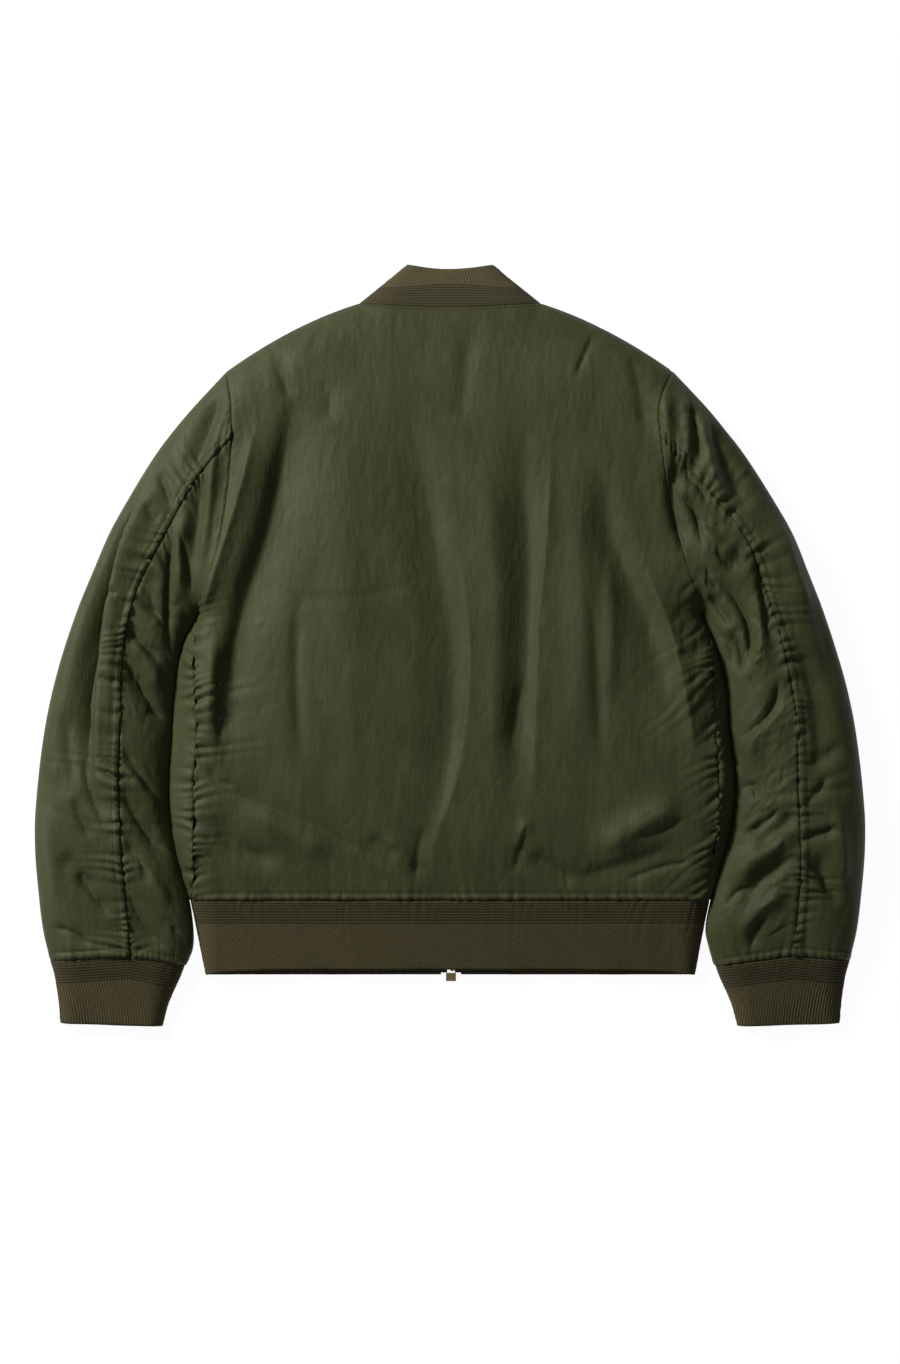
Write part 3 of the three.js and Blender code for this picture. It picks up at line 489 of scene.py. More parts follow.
def measureGrid(grid):
    # Distances along the cloth from each of its four borders.
    points = grid["points"]
    across, along = running(points, 1), running(points, 0)
    grid["start"], grid["end"] = across, across[:, -1:] - across
    grid["top"], grid["bottom"] = along, along[-1:] - along
    return grid


def wave(s, pitch, seed):
    # An uneven ripple along a seam.
    drift = 0.34 * pitch * np.sin(s / 21 + seed) + 0.2 * pitch * np.sin(s / 8.3 + 2.1 * seed)
    size = 0.62 + 0.38 * np.sin(s / 29 + 3 * seed)
    return size * np.sin(2 * np.pi * (s + drift) / pitch)


def puckers(s, away, pitch, decay, seed):
    # Gathered cloth: round bulges with sharp creases between, each of its own height and reach.
    drift = 0.5 * pitch * np.sin(s / 23 + seed) + 0.4 * pitch * np.sin(s / 9.1 + 2.1 * seed)
    phase = (s + drift) / pitch
    each = np.floor(phase)
    height = 0.5 + 0.85 * np.abs(np.sin(each * 12.9898 + seed))
    reach = decay * (0.4 + 1.9 * np.abs(np.sin(each * 78.233 + 2 * seed)) ** 2)
    bulge = np.abs(np.sin(np.pi * phase)) ** 0.8
    return height * bulge * np.exp(-away / reach) - 0.45 * np.exp(-away / decay)


def seamRelief(grid, border, seed=0.0, drop=0.0, reach=2.5, gather=0.0, decay=10.0, pitch=7.0,
               slant=0.0, roll=0.0, rollAt=3.5, rollWidth=2.6, groove=0.0, grooveAt=0.0, above=None):
    away = grid[border]
    # How far along the border each row or column starts from.
    s = {"start": grid["top"][:, :1], "end": grid["top"][:, -1:],
         "top": grid["start"][:1], "bottom": grid["start"][-1:]}[border]
    sway = 5.0 * np.sin(s / 15 + seed) * (1 - np.exp(-away / 12))
    ripple = 0.7 * puckers(s + slant * away + sway, away, pitch, decay, seed)
    # Every second or third bulge runs on further, at its own slant.
    ripple = ripple + 0.65 * puckers(s + 1.7 * slant * away + sway, away, 2.3 * pitch, 1.8 * decay, seed + 5)
    if above is not None:
        ripple = ripple * lerp(1, above, smooth((grid["points"][..., 1] - underarmY + 20) / 50))
    out = gather * ripple - drop * np.exp(-((away / reach) ** 2))
    if roll:
        out = out + roll * np.exp(-(((away - rollAt) / rollWidth) ** 2)) * (0.75 + 0.6 * ripple)
    if groove:
        out = out - groove * np.exp(-(((away - grooveAt) / 0.9) ** 2))
    return out


def addRelief(grid, flip, seams, folds=1.0, extra=None):
    points = grid["points"]
    relief = np.zeros(points.shape[:2])
    edge = edgeDistance(points[..., 0], points[..., 1], grid["form"])
    if folds:
        relief += folds * foldRelief(points[..., :2]) * (0.15 + 0.85 * smooth(edge / 24))
    for seam in seams:
        relief += seamRelief(grid, **seam) * (0.3 + 0.7 * smooth(edge / 14))
    if extra is not None:
        relief += extra
    relief *= smooth(spreadMask(grid["upper"]))[None, :]
    grid["normals"] = gridNormals(points, flip)
    grid["outer"] = points + relief[..., None] * grid["normals"]
    grid["outer"][..., 2] = np.maximum(grid["outer"][..., 2], 0)
    return grid


def spreadMask(mask):
    # The relief dies away over the first columns past a side fold.
    kernel = np.ones(7) / 7
    padded = np.concatenate([np.full(3, mask[0]), mask, np.full(3, mask[-1])])
    return np.convolve(padded, kernel, mode="valid") * (mask > 0) + 0 * mask


def coarse(count, step):
    picks = list(range(0, count - 1, step))
    return np.array(picks + [count - 1])


def wallMesh(name, grid, thickness, flip, step=4, loop=False):
    # The fine outer face, a coarser inner face and the rim between them, as one closed mesh.
    outer, normals = grid["outer"], grid["normals"]
    rows, columns = outer.shape[:2]
    pickRows, pickColumns = coarse(rows, step), coarse(columns, step)
    inner = (outer - thickness * normals)[np.ix_(pickRows, pickColumns)]
    inner[..., 2] = np.maximum(inner[..., 2], 0)
    faces = []
    add = faces.append if not flip else (lambda f: faces.append(f[::-1]))
    index = np.arange(rows * columns).reshape(rows, columns)
    innerIndex = rows * columns + np.arange(len(pickRows) * len(pickColumns)).reshape(len(pickRows), -1)
    quads = np.stack([index[:-1, :-1], index[:-1, 1:], index[1:, 1:], index[1:, :-1]], -1).reshape(-1, 4)
    back = np.stack(
        [innerIndex[:-1, :-1], innerIndex[1:, :-1], innerIndex[1:, 1:], innerIndex[:-1, 1:]], -1
    ).reshape(-1, 4)
    sides = [
        (index[0], innerIndex[0], pickColumns, True),
        (index[-1], innerIndex[-1], pickColumns, False),
        (index[:, 0], innerIndex[:, 0], pickRows, False),
        (index[:, -1], innerIndex[:, -1], pickRows, True),
    ]
    for fine, rough, picks, turned in sides:
        for k in range(len(picks) - 1):
            strip = list(fine[picks[k]:picks[k + 1] + 1])
            ring = strip + [rough[k + 1], rough[k]]
            add([int(i) for i in (ring[::-1] if turned else ring)])
    if flip:
        quads, back = quads[:, ::-1], back[:, ::-1]
    vertices = np.concatenate([outer.reshape(-1, 3), inner.reshape(-1, 3)])
    uv = np.stack([grid["start"], grid["top"]], -1)
    uv = np.concatenate([uv.reshape(-1, 2), uv[np.ix_(pickRows, pickColumns)].reshape(-1, 2)])
    return buildObject(name, vertices, quads.tolist() + back.tolist() + faces, uv)


def buildObject(name, vertices, faces, uv=None):
    mesh = bpy.data.meshes.new(name)
    mesh.from_pydata((vertices * 0.001).tolist(), [], faces)
    mesh.polygons.foreach_set("use_smooth", np.ones(len(mesh.polygons), bool))
    if uv is not None:
        corners = np.empty(len(mesh.loops), np.int32)
        mesh.loops.foreach_get("vertex_index", corners)
        layer = mesh.uv_layers.new(name="cloth")
        layer.data.foreach_set("uv", (uv[corners] * 0.001).astype(np.float32).ravel())
    mesh.update()
    obj = bpy.data.objects.new(name, mesh)
    bpy.context.scene.collection.objects.link(obj)
    return obj


def finishPiece(obj, nodes, material):
    obj.data.materials.append(material)
    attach(obj, "jacket")
    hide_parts(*nodes)
    triangles = sum(len(p.vertices) - 2 for p in obj.data.polygons)
    print(f"{obj.name}: {triangles} triangles")
    return obj


# ---- stitches: short capsules along a line on a piece ----
stitch = {"pitch": 3.2, "length": 2.3, "radius": 0.32, "sink": 0.1}


def lineOnGrid(grid, border, away, inset=3.0):
    # The points of the outer face at one distance from a border.
    outer, normals = grid["outer"], grid["normals"]
    spots, ups = [], []
    if border in ("top", "bottom"):
        distance = grid[border].T
        outer, normals = outer.transpose(1, 0, 2), normals.transpose(1, 0, 2)
    else:
        distance = grid[border]
    for r in range(len(distance)):
        run = distance[r]
        order = np.arange(len(run), dtype=float)
        if run[0] > run[-1]:
            place = np.interp(away, run[::-1], order[::-1])
        else:
            place = np.interp(away, run, order)
        low = min(int(place), len(run) - 2)
        spots.append(lerp(outer[r, low], outer[r, low + 1], place - low))
        ups.append(lerp(normals[r, low], normals[r, low + 1], place - low))
    return np.array(spots), np.array(ups)


def stitchLine(points, ups):
    legs = np.linalg.norm(np.diff(points, axis=0), axis=1)
    run = np.concatenate([[0], np.cumsum(legs)])
    count = int((run[-1] - 4) / stitch["pitch"])
    parts = []
    for k in range(count):
        start = 2 + k * stitch["pitch"]
        ends = []
        for at in (start, start + stitch["length"]):
            here = np.array([np.interp(at, run, points[:, i]) for i in range(3)])
            up = np.array([np.interp(at, run, ups[:, i]) for i in range(3)])
            place = here + up * (stitch["radius"] - stitch["sink"]) / max(np.linalg.norm(up), 1e-9)
            place[2] = max(place[2], stitch["radius"])  # the underside stays flat
            ends.append(place)
        parts.append(capsule(ends[0], ends[1], stitch["radius"]))
    return parts


def capsule(a, b, radius, sides=6):
    axis = (b - a) / max(np.linalg.norm(b - a), 1e-9)
    aside = np.cross(axis, [0, 0, 1.0])
    aside /= max(np.linalg.norm(aside), 1e-9)
    up = np.cross(aside, axis)
    angles = np.arange(sides) * 2 * math.pi / sides
    ring = np.cos(angles)[:, None] * aside + np.sin(angles)[:, None] * up
    rings = [a + ring * radius * 0.6, a + axis * radius * 0.8 + ring * radius,
             b - axis * radius * 0.8 + ring * radius, b + ring * radius * 0.6]
    vertices = np.concatenate(rings + [[a - axis * radius * 0.5], [b + axis * radius * 0.5]])
    faces = []
    for k in range(3):
        for i in range(sides):
            j = (i + 1) % sides
            faces.append([k * sides + i, k * sides + j, (k + 1) * sides + j, (k + 1) * sides + i])
    tip, tail = 4 * sides, 4 * sides + 1
    for i in range(sides):
        j = (i + 1) % sides
        faces.append([tip, j, i])
        faces.append([tail, 3 * sides + i, 3 * sides + j])
    return vertices, faces


def joinParts(parts):
    vertices, faces, base = [], [], 0
    for partVertices, partFaces in parts:
        vertices.append(partVertices)
        faces += [[base + i for i in face] for face in partFaces]
        base += len(partVertices)
    return np.concatenate(vertices), faces


def addStitches(name, grid, lines, material):
    parts = []
    for border, away in lines:
        parts += stitchLine(*lineOnGrid(grid, border, away))
    vertices, faces = joinParts(parts)
    obj = buildObject(name, vertices, faces)
    obj.data.materials.append(material)
    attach(obj, "jacket")
    return obj


# ---- materials ----
def toLinear(hexColour):
    parts = [int(hexColour[i:i + 2], 16) / 255 for i in (1, 3, 5)]
    return [c / 12.92 if c <= 0.04045 else ((c + 0.055) / 1.055) ** 2.4 for c in parts] + [1.0]


def addNode(tree, kind, values=None, links=None):
    node = tree.nodes.new(kind)
    for name, value in (values or {}).items():
        if name in node.inputs:
            node.inputs[name].default_value = value
        else:
            setattr(node, name, value)
    for name, source in (links or {}).items():
        tree.links.new(source, node.inputs[name])
    return node


def newMaterial(name):
    material = bpy.data.materials.new(name)
    material.use_nodes = True
    material.node_tree.nodes.clear()
    return material, material.node_tree


nylonLook = {
    "base": "#373922",
    "faded": "#40432a",  # where washing has lightened it
    "roughness": 0.58,
    "specular": 0.12,
    "sheen": 0.02,
    "crinkle": 0.8,  # mm
    "weave": 0.03,  # mm
}


def makeNylon(look):
    # Washed nylon twill: a dull olive that lightens in soft streaks and shines a little along the folds.
    material, tree = newMaterial("washed nylon twill")
    cloth = addNode(tree, "ShaderNodeUVMap", {"uv_map": "cloth"}).outputs["UV"]
    place = addNode(tree, "ShaderNodeTexCoord").outputs["Object"]
    stretched = addNode(tree, "ShaderNodeMapping", {"Scale": (1.0, 0.32, 1.0)}, {"Vector": place})
    streaks = addNode(
        tree, "ShaderNodeTexNoise", {"Scale": 42.0, "Detail": 5.0, "Roughness": 0.6},
        {"Vector": stretched.outputs["Vector"]},
    )
    fade = addNode(
        tree, "ShaderNodeMapRange", {"From Min": 0.42, "From Max": 0.72}, {"Value": streaks.outputs["Fac"]}
    )
    colour = addNode(tree, "ShaderNodeMix", {"data_type": "RGBA"}, {"Factor": fade.outputs["Result"]})
    setColour(colour, look)
    # Crinkles a few millimetres wide, longer up and down the cloth.
    crinkle = addNode(
        tree, "ShaderNodeTexNoise", {"Scale": 190.0, "Detail": 3.0, "Roughness": 0.55},
        {"Vector": stretched.outputs["Vector"]},
    )
    crinkled = addNode(
        tree, "ShaderNodeBump", {"Strength": 1.0, "Distance": look["crinkle"] * 0.001},
        {"Height": crinkle.outputs["Fac"]},
    )
    turned = addNode(tree, "ShaderNodeMapping", {"Rotation": (0, 0, math.radians(38))}, {"Vector": cloth})
    weave = addNode(
        tree, "ShaderNodeTexWave", {"Scale": 1 / (0.0008 * 2 * math.pi) * 1.0}, {"Vector": turned.outputs["Vector"]}
    )
    woven = addNode(
        tree, "ShaderNodeBump", {"Strength": 1.0, "Distance": look["weave"] * 0.001},
        {"Height": weave.outputs["Fac"], "Normal": crinkled.outputs["Normal"]},
    )
    shader = addNode(
        tree, "ShaderNodeBsdfPrincipled",
        {"Roughness": look["roughness"], "IOR": 1.5, "Specular IOR Level": look["specular"],
         "Sheen Weight": look["sheen"], "Sheen Roughness": 0.45},
        {"Base Color": colour.outputs[2], "Normal": woven.outputs["Normal"]},
    )
    addNode(tree, "ShaderNodeOutputMaterial", {}, {"Surface": shader.outputs["BSDF"]})
    return material


def setColour(mix, look):
    # A mix node has sockets of the same name for each data type: the colour pair is the last.
    mix.inputs[6].default_value = toLinear(look["base"])
    mix.inputs[7].default_value = toLinear(look["faded"])


ribLook = {
    "base": "#453f28",
    "faded": "#524a32",
    "roughness": 0.92,
    "specular": 0.12,
    "sheen": 0.04,
    "yarn": 0.22,  # mm
    "band": 23.5,  # mm, the stitched part beside the seam
    # painted shade: how much darker the colour is made over the whole stitched band
    "bandTone": 0.64,
    "groove": 0.42,  # painted shade: how much darker the colour is made between two ribs
}


rib = {"pitch": 2.9, "depth": 0.36, "ridgePitch": 2.9, "ridgeDepth": 0.5, "fineStep": 0.55, "underStep": 0.8}


def waveScale(pitch):
    # A wave texture repeats every 2 pi / 20 of its scaled length.
    return 2 * math.pi / (20 * pitch * 0.001)


def makeRib(name, look):
    # Rib knit: matt and brown-olive, with soft fibres that catch the light at the edges. Its colour carries painted
    # shade between the ribs and over the stitched band, and a painted highlight on the rib tops.
    material, tree = newMaterial(name)
    place = addNode(tree, "ShaderNodeTexCoord").outputs["Object"]
    mottle = addNode(
        tree, "ShaderNodeTexNoise", {"Scale": 160.0, "Detail": 4.0, "Roughness": 0.7}, {"Vector": place}
    )
    colour = addNode(tree, "ShaderNodeMix", {"data_type": "RGBA"}, {"Factor": mottle.outputs["Fac"]})
    setColour(colour, look)
    cloth = addNode(tree, "ShaderNodeUVMap", {"uv_map": "cloth"}).outputs["UV"]
    across = addNode(tree, "ShaderNodeSeparateXYZ", {}, {"Vector": cloth}).outputs["Y"]
    inBand = addNode(
        tree, "ShaderNodeMapRange", {"From Min": look["band"] * 0.001, "From Max": look["band"] * 0.001 + 0.001},
        {"Value": across},
    ).outputs["Result"]
    upright = addNode(tree, "ShaderNodeTexWave", {"Scale": waveScale(rib["pitch"])}, {"Vector": cloth})
    level = addNode(
        tree, "ShaderNodeTexWave", {"bands_direction": "Y", "Scale": waveScale(rib["ridgePitch"])}, {"Vector": cloth}
    )
    knit = addNode(
        tree, "ShaderNodeMix", {},
        {"Factor": inBand, "A": level.outputs["Fac"], "B": upright.outputs["Fac"]},
    ).outputs["Result"]
    # Painted shade and painted highlight: the knit pattern makes the colour darker between the ribs and lighter on
    # their tops.
    shade = addNode(tree, "ShaderNodeMapRange", {"To Min": look["groove"], "To Max": 1.12}, {"Value": knit})
    # Painted shade: the colour is made darker over the stitched band.
    bandShade = addNode(tree, "ShaderNodeMapRange", {"To Min": look["bandTone"], "To Max": 1.0}, {"Value": inBand})
    value = addNode(
        tree, "ShaderNodeMath", {"operation": "MULTIPLY"}, {0: shade.outputs["Result"], 1: bandShade.outputs["Result"]}
    )
    tone = addNode(
        tree, "ShaderNodeHueSaturation", {}, {"Color": colour.outputs[2], "Value": value.outputs["Value"]}
    )
    fuzz = addNode(
        tree, "ShaderNodeTexNoise", {"Scale": 900.0, "Detail": 3.0, "Roughness": 0.7}, {"Vector": place}
    )
    bump = addNode(
        tree, "ShaderNodeBump", {"Strength": 1.0, "Distance": look["yarn"] * 0.001},
        {"Height": fuzz.outputs["Fac"]},
    )
    shader = addNode(
        tree, "ShaderNodeBsdfPrincipled",
        {"Roughness": look["roughness"], "IOR": 1.45, "Specular IOR Level": look["specular"],
         "Sheen Weight": look["sheen"], "Sheen Roughness": 0.6},
        {"Base Color": tone.outputs["Color"], "Normal": bump.outputs["Normal"]},
    )
    addNode(tree, "ShaderNodeOutputMaterial", {}, {"Surface": shader.outputs["BSDF"]})
    return material


def makePlain(name, colour, roughness, metallic=0.0, ior=1.45):
    material, tree = newMaterial(name)
    shader = addNode(
        tree, "ShaderNodeBsdfPrincipled",
        {"Base Color": toLinear(colour), "Roughness": roughness, "Metallic": metallic, "IOR": ior},
    )
    addNode(tree, "ShaderNodeOutputMaterial", {}, {"Surface": shader.outputs["BSDF"]})
    return material


nylon = makeNylon(nylonLook)
ribKnit = makeRib("rib knit", ribLook)
collarKnit = makeRib("collar knit", {**ribLook, "base": "#4c4630", "faded": "#575037"})
thread = makePlain("olive thread", "#3d3e29", 0.8, ior=1.2)
tapeCloth = makePlain("woven zip tape", "#3a3c28", 0.85)
brass = makePlain("aged brass", "#8a7c58", 0.38, metallic=1.0)
print("materials made")

frontNodes = {side: [f"front_{side}_top", f"front_{side}_lower"] for side in sign}

# ---- back ----
back = {
    "step": 2.15 * spread,
    "neckSeam": dict(border="top", seed=1.0, drop=1.2, reach=2.0, gather=0.4, decay=9, pitch=8, groove=0.5, grooveAt=3.2),
    "armhole": dict(drop=1.0, reach=1.8, gather=6.2, decay=7, pitch=10.5, slant=0.1, above=0.1),
    "hem": dict(border="bottom", seed=2.0, drop=1.6, reach=1.8, gather=1.6, decay=10, pitch=7.5, slant=0.15,
                roll=1.4, rollAt=3.6, rollWidth=2.4, groove=0.9, grooveAt=7.6),
}
neckSteps = np.linspace(0, 1, 97)


def backTop(x):
    half = np.abs(x)
    arc = lerp(neck["backMiddle"], neck["side"], np.minimum(1, half / neck["half"]) ** 2)
    t = np.clip((224 - half) / (224 - neck["half"]), 0, 1)
    line = lerp(274.0, neck["side"], t) + shoulderBulge * 4 * t * (1 - t)
    return np.where(half < neck["half"], arc, line)


def backRow(v):
    y = lerp(274.0, hemY, v)
    left, right = armholeX("left", y, -1), armholeX("right", y, -1)
    topLeft, topRight = armholeX("left", 274.0, -1), armholeX("right", 274.0, -1)
    u = np.linspace(0, 1, 241)
    x = lerp(left, right, u)
    rise = (backTop(lerp(topLeft, topRight, u)) - 274) * (1 - v) ** 3
    return [np.stack([x, y + rise], 1)]


def rowStations(length, step, dense=((0, 1.0),)):
    # Rows a step apart, evenly.
    count = max(4, math.ceil(length / step))
    return np.linspace(0, 1, count + 1)


def makeBack():
    stations = rowStations(600, back["step"])
    grid = makeGrid(backRow, stations, ["upper"], [back["step"]], "body")
    seams = [back["neckSeam"], back["hem"]]
    seams.append({**back["armhole"], "border": "start", "seed": 3.0})
    seams.append({**back["armhole"], "border": "end", "seed": 4.0, "slant": -0.5})
    addRelief(grid, True, seams)
    obj = wallMesh("back_cloth", grid, nylonWall, True)
    finishPiece(obj, ["back"], nylon)
    threads = addStitches("back_stitches", grid, [("bottom", 7.6), ("top", 3.2)], thread)


makeBack()

# ---- fronts ----
front = {
    "upperStep": 2.4 * spread,
    "underStep": 6.0,
    "sideSeam": dict(border="start", drop=1.0, reach=1.8, gather=6.2, decay=7, pitch=10.5, slant=0.1),
    "hem": dict(border="bottom", drop=1.4, reach=1.8, gather=1.4, decay=10, pitch=7.5, roll=1.2, rollAt=3.6,
                groove=0.8, grooveAt=7.6),
}
foldSteps = np.sin(np.linspace(0, 1, 61) * math.pi / 2)
fromFold = 1 - foldSteps[::-1]


def frontInner(side, v):
    edge = zipX + sign[side] * frontEdge
    if v >= neckShare:
        return np.array([edge, lerp(neck["frontMiddle"], hemY, (v - neckShare) / (1 - neckShare))])
    return neckCurve(side, v / neckShare, neck, edge)


def neckCurve(side, t, ring, endX):
    angle = t * math.pi / 2
    x = lerp(endX, sign[side] * ring["half"], math.cos(angle))
    return np.array([x, ring["side"] - (ring["side"] - ring["frontMiddle"]) * math.sin(angle)])


def towards(a, b, shares):
    return a + (b - a) * np.asarray(shares)[:, None]


def frontRow(side, v):
    y = lerp(274.0, hemY, v)
    end = frontInner(side, v)
    seam = np.array([armholeX(side, y, -1), y])
    edge = np.array([valleyX(side, y, -1), y]) if y < underarmY - 1 else seam
    under = towards(edge, end, fromFold)
    under[:, 1] += shoulderBulge * 4 * fromFold * (1 - fromFold) * max(0, 1 - v / neckShare) ** 2
    if edge is not seam:
        return [towards(seam, edge, foldSteps), under]
    strip = under[0] + (under[8] - under[0]) * np.linspace(0, 1, 61)[:, None] * 0.5
    rest = np.concatenate([[strip[-1]], under[8:]])
    rest = np.stack([np.interp(np.linspace(0, 1, 61), np.linspace(0, 1, len(rest)), rest[:, i]) for i in (0, 1)], 1)
    return [strip, rest]


def makeFront(side):
    below = lambda v: frontRow(side, v)
    split = (274.0 - underarmY + 1.5) / (274.0 - hemY)
    upperRows = np.linspace(split, 1, max(20, math.ceil(285 / front["upperStep"])))
    grid = makeGrid(below, upperRows, ["upper", "lower"], [front["upperStep"], front["underStep"]], "body")
    flip = side == "right"
    seams = [{**front["sideSeam"], "seed": 5.0 + flip}, {**front["hem"], "seed": 7.0}]
    addRelief(grid, flip, seams, folds=0.6)
    lower = wallMesh("front_lower_" + side, grid, nylonWall, flip)
    upperPart = makeGrid(below, np.linspace(0, split, 50), ["lower", "lower"], [2.0, front["underStep"]], "body")
    addRelief(upperPart, flip, [], folds=0)
    upper = wallMesh("front_cloth_" + side, upperPart, nylonWall, flip)
    joinInto(upper, lower)
    finishPiece(upper, frontNodes[side], nylon)


def joinInto(target, other):
    bpy.ops.object.select_all(action="DESELECT")
    other.select_set(True)
    target.select_set(True)
    bpy.context.view_layer.objects.active = target
    bpy.ops.object.join()


for side in sign:
    makeFront(side)

# ---- sleeves ----
sleeve = {
    "upperStep": 1.9 * spread,
    "underStep": 5.0,
    "band": dict(border="start", drop=1.3, reach=1.6, gather=6.2, decay=8, pitch=10.5, slant=0.25, roll=0.9,
                 rollAt=3.8, rollWidth=2.6, groove=0.8, grooveAt=8.0),
    "seam": dict(border="start", drop=1.6, reach=2.0, gather=4.6, decay=5, pitch=10.5, slant=0.3),
    "armhole": dict(border="top", drop=0.9, reach=1.8, gather=0.8, decay=10, pitch=9),
    "cuff": dict(border="bottom", drop=1.6, reach=1.8, gather=1.7, decay=11, pitch=8, roll=1.4, rollAt=4.4,
                 rollWidth=3.2, groove=0.9, grooveAt=9.0),
}


def sleeveStation(side, v):
    at = v * (len(sleeveSections["i"]) - 1)
    outerY, seamY, innerY, share = [
        float(read(sleeveSections, "i", name, at)) for name in ("outer", "seam", "inner", "front")
    ]
    outer = np.array([outerX(side, outerY), outerY])
    inner = np.array([valleyX(side, innerY, 1), innerY])
    seam = np.array([sign[side] * read(sleeveSeam, "y", side, seamY), seamY])
    return {"outer": outer, "inner": inner, "seam": seam, "front": outer + (inner - outer) * share}


def bowed(side, a, b, first, shares, v):
    # Near the armhole the rows bow to follow it.
    points = towards(a, b, shares)
    start = towards(first[0], first[1], shares)
    points[:, 0] += (armholeX(side, start[:, 1], 1) - start[:, 0]) * (1 - v) ** 4
    return points


def sleeveRow(side, edge, v):
    start, here = sleeveStation(side, 0.0), sleeveStation(side, v)
    over = bowed(side, here["seam"], here[edge], (start["seam"], start[edge]), foldSteps, v)
    under = bowed(side, here[edge], here["front"], (start[edge], start["front"]), fromFold, v)
    return [over, under]


def makeSleevePanel(side, edge):
    name = "sleeve_outer_cloth_" + side if edge == "outer" else "sleeve_under_cloth_" + side
    node = ("sleeve_outer_" if edge == "outer" else "sleeve_under_") + side
    flip = (side == "right") == (edge == "outer")
    stations = rowStations(600 if edge == "outer" else 520, sleeve["upperStep"])
    grid = makeGrid(lambda v: sleeveRow(side, edge, v), stations, ["upper", "lower"],
                    [sleeve["upperStep"], sleeve["underStep"]], side)
    seed = 9.0 + 2 * (side == "right")
    along = sleeve["band"] if edge == "outer" else sleeve["seam"]
    seams = [{**along, "seed": seed}, {**sleeve["armhole"], "seed": seed + 1}, {**sleeve["cuff"], "seed": seed + 2}]
    addRelief(grid, flip, seams)
    obj = wallMesh(name, grid, nylonWall, flip)
    finishPiece(obj, [f"{node}_{part}" for part in ("top", "elbow", "fore")], nylon)
    lines = [("bottom", 9.0)]
    if edge == "outer":
        lines += [("start", 8.0), ("start", 1.6)]
    threads = addStitches(name + "_stitches", grid, lines, thread)


for side in sign:
    makeSleevePanel(side, "outer")
    makeSleevePanel(side, "inner")


# ---- ribs ----
def ribStations(band, plain, bandStep=0.62, plainStep=2.8):
    # Rows of a rib: close together over the band of stitched ridges, further apart over the plain rib.
    total = band + plain
    first = np.linspace(0, band, math.ceil(band / bandStep / spread) + 1)
    rest = np.linspace(band, total, math.ceil(plain / plainStep) + 1)[1:]
    return np.concatenate([first, rest]) / total


def ribRelief(grid, band, ridges, grid2=False):
    # Fine ribs run down from the band. The band itself is stitched in ridges that run round.
    s, d = grid["start"], grid["top"]
    upright = np.cos(2 * np.pi * s / rib["pitch"])
    ridge = np.abs(np.sin(np.pi * d / rib["ridgePitch"])) ** 0.8 - 0.6
    inBand = smooth((band - d) / 1.2) if ridges else 0 * d
    plain = rib["depth"] * upright * (1 - inBand)
    return plain + rib["ridgeDepth"] * inBand * (ridge + 0.28 * upright)


def alongRib(v, share):
    return v


def cuffRow(side, v):
    here = sleeveStation(side, 1.0)
    top, end = cuffSide(side, 0.0, "outer"), cuffSide(side, 0.0, "inner")
    seamShare = (here["seam"][0] - top[0]) / (end[0] - top[0])
    frontShare = (here["front"][0] - top[0]) / (end[0] - top[0])
    rise = here["seam"][1] - lerp(top[1], end[1], seamShare)
    a, b = cuffSide(side, v, "outer"), cuffSide(side, v, "inner")
    middle = lerp(a, b, seamShare) + np.array([0, rise * (1 - v)])
    below = lerp(a, b, frontShare)
    return [
        towards(middle, a, foldSteps)[::-1], towards(middle, b, foldSteps),
        towards(b, below, fromFold), towards(a, below, fromFold)[::-1],
    ]


def wavyEdge(grid, border, depth, seed):
    # A soft swell that leaves a free edge a little uneven.
    s = grid["start"]
    away = grid[border]
    return depth * np.exp(-away / 22) * (np.sin(s / 19 + seed) + 0.6 * np.sin(s / 8 + 2 * seed))


def makeCuff(side):
    flip = side == "left"
    stations = ribStations(23, 41)
    steps = [rib["fineStep"] * spread, rib["fineStep"] * spread, rib["underStep"], rib["underStep"]]
    grid = makeGrid(lambda v: cuffRow(side, v), stations, ["upper", "upper", "lower", "lower"], steps, side)
    grid["upper"] = np.ones_like(grid["upper"])
    extra = ribRelief(grid, 23, True) + wavyEdge(grid, "bottom", 0.5, 2.0 + flip)
    seams = [dict(border="top", drop=0.9, reach=1.6, gather=0.5, decay=8, pitch=8, seed=13.0)]
    addRelief(grid, flip, seams, folds=0.5, extra=extra)
    obj = wallMesh("cuff_knit_" + side, grid, ribWall, flip)
    finishPiece(obj, ["cuff_" + side], ribKnit)


def hemRow(v):
    backY, frontY = lerp(hemY, hemBottomBack, v), lerp(hemY, hemBottomFront, v)
    middle = np.array([0, backY])
    sections = {}
    for side in sign:
        edge = hemSide(side, v)
        over = towards(middle, edge, foldSteps)
        over[:, 1] = lerp(backY, frontY, foldSteps**8)
        end = np.array([zipX + sign[side] * (frontEdge + hemBlockWidth), frontY])
        sections[side] = (over, towards(edge, end, fromFold))
    return [sections["left"][1][::-1], sections["left"][0][::-1], sections["right"][0], sections["right"][1]]


def makeHem():
    stations = ribStations(25, 46)
    under, over = rib["underStep"], 0.6 * spread
    grid = makeGrid(hemRow, stations, ["lower", "upper", "upper", "lower"], [under, over, over, under], "body")
    grid["upper"] = np.ones_like(grid["upper"])
    extra = ribRelief(grid, 25, True) + wavyEdge(grid, "bottom", 0.6, 1.3)
    seams = [dict(border="top", drop=1.0, reach=1.6, gather=0.6, decay=9, pitch=7.5, seed=2.0)]
    addRelief(grid, True, seams, folds=0.6, extra=extra)
    obj = wallMesh("hem_knit", grid, ribWall, True)
    finishPiece(obj, ["hem_rib"], ribKnit)


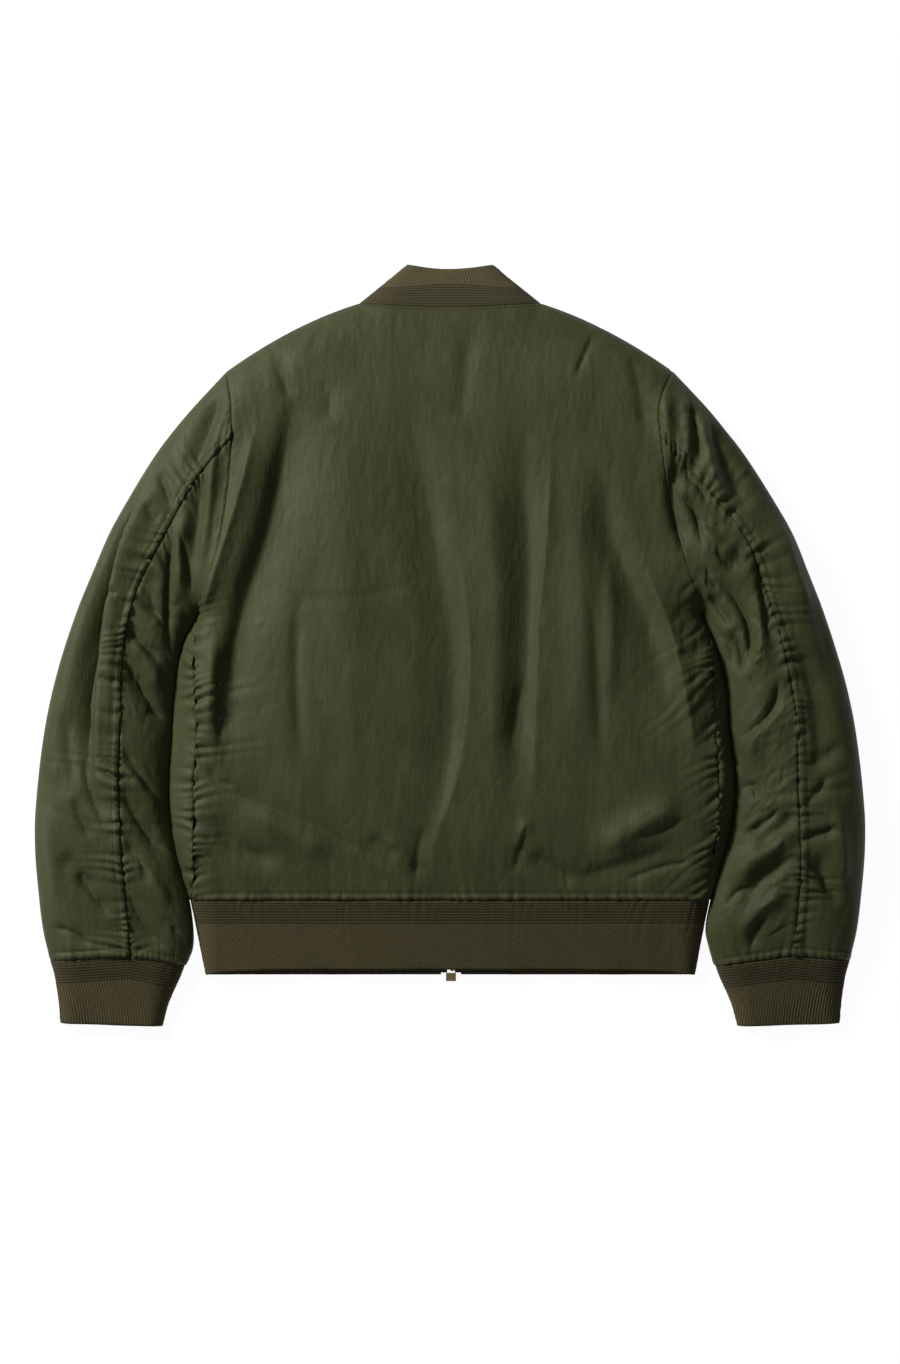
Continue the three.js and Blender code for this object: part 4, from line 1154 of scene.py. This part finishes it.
def collarRow(v):
    ring = {name: lerp(neck[name], collarTop[name], v) for name in neck}
    parts = {}
    for side in sign:
        edge = zipX + sign[side] * 1.5
        parts[side] = np.array([neckCurve(side, t, ring, edge) for t in np.linspace(0, 1, 49)])
    x = np.linspace(-ring["half"], ring["half"], 97)
    y = lerp(ring["backMiddle"], ring["side"], (x / ring["half"]) ** 2)
    return [parts["left"][::-1], np.stack([x, y], 1), parts["right"]]


def makeCollar():
    stations = ribStations(21, 28)
    steps = [rib["underStep"], 0.5 * spread, rib["underStep"]]
    grid = makeGrid(collarRow, stations, ["lower", "upper", "lower"], steps, "body")
    grid["upper"] = np.ones_like(grid["upper"])
    extra = 0.8 * ribRelief(grid, 21, True) + wavyEdge(grid, "bottom", 0.4, 4.0)
    addRelief(grid, False, [dict(border="top", drop=0.8, reach=1.5, seed=1.0)], folds=0, extra=extra)
    obj = wallMesh("collar_knit", grid, ribWall, False)
    finishPiece(obj, ["collar"], collarKnit)


for side in sign:
    makeCuff(side)
makeHem()
makeCollar()


# ---- hem blocks and zip ----
def makeHemBlock(side):
    low, high = sorted(zipX + sign[side] * x for x in (frontEdge, frontEdge + hemBlockWidth))

    def row(v):
        return [np.array([[x, lerp(hemY, hemBottomFront, v)] for x in np.linspace(low, high, 25)])]

    grid = makeGrid(row, np.linspace(0, 1, 39), ["lower"], [2.0], "body")
    grid["upper"] = np.ones_like(grid["upper"])
    addRelief(grid, False, [], folds=0)
    obj = wallMesh("hem_block_cloth_" + side, grid, nylonWall, False)
    finishPiece(obj, ["hem_block_" + side], nylon)


for side in sign:
    makeHemBlock(side)

zipLook = {"pitch": 3.2, "tooth": (3.9, 1.5, 2.4), "bevel": 0.35}


def toothBox(centre, size):
    corners = np.array([[x, y, z] for z in (-0.5, 0.5) for y in (-0.5, 0.5) for x in (-0.5, 0.5)])
    faces = [[0, 2, 3, 1], [4, 5, 7, 6], [0, 1, 5, 4], [2, 6, 7, 3], [0, 4, 6, 2], [1, 3, 7, 5]]
    return corners * np.array(size) + np.array(centre), faces


def makeChain():
    parts = []
    y, side = 246.0, 1
    while y > -328:
        z = float(liftAt(np.array(zipX), np.array(y))) + 0.4 + 1.4
        parts.append(toothBox((zipX + side * 1.45, y, z), zipLook["tooth"]))
        y -= zipLook["pitch"] / 2
        side = -side
    vertices, faces = joinParts(parts)
    obj = buildObject("zip_teeth", vertices, faces)
    obj.data.polygons.foreach_set("use_smooth", np.zeros(len(obj.data.polygons), bool))
    finishPiece(obj, ["zip_chain"], brass)


makeChain()
for name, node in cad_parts.items():
    if name.startswith("zip_"):
        node.data.materials.clear()
        node.data.materials.append(tapeCloth if "tape" in name else brass)
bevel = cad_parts["zip_box"].modifiers.new("soft edges", "BEVEL")
bevel.width = 0.0014
bevel.segments = 4

# ---- floor, light and camera ----
studio = {"floor": "#404040", "glow": 0.96, "sky": 0.12, "key": 140.0, "fill": 9.0}


def makeFloor():
    obj = buildObject("floor", np.array([[-9e3, -9e3, 0], [9e3, -9e3, 0], [9e3, 9e3, 0], [-9e3, 9e3, 0.0]]),
                      [[0, 1, 2, 3]])
    obj.location.z = -0.0004
    material = makePlain("studio floor", studio["floor"], 0.9)
    shader = material.node_tree.nodes["Principled BSDF"]
    shader.inputs["Emission Color"].default_value = (1, 1, 1, 1)
    shader.inputs["Emission Strength"].default_value = studio["glow"]  # a table lit from below, so it stays white
    obj.data.materials.append(material)


def addLight(name, place, size, power, colour="#ffffff"):
    data = bpy.data.lights.new(name, "AREA")
    data.shape = "DISK"
    data.size = size
    data.energy = power
    data.color = toLinear(colour)[:3]
    obj = bpy.data.objects.new(name, data)
    obj.location = place
    obj.rotation_euler = Vector(place).to_track_quat("Z", "Y").to_euler()
    bpy.context.scene.collection.objects.link(obj)


makeFloor()
addLight("key, low from the upper left", (-2.1, 1.45, 1.7), 0.8, studio["key"])
addLight("fill, overhead", (0.6, -0.3, 3.4), 2.6, studio["fill"])
world = bpy.data.worlds.new("studio")
world.use_nodes = True
world.node_tree.nodes["Background"].inputs["Color"].default_value = (1, 1, 1, 1)
world.node_tree.nodes["Background"].inputs["Strength"].default_value = studio["sky"]
bpy.context.scene.world = world
bpy.context.scene.view_settings.view_transform = "Standard"

camera = bpy.data.cameras.new("camera")
camera.lens = 72
camera.sensor_width = 36
cameraObject = bpy.data.objects.new("camera", camera)
cameraObject.location = (0, -0.037, 2.745)
bpy.context.scene.collection.objects.link(cameraObject)
bpy.context.scene.camera = cameraObject
print("stage set")
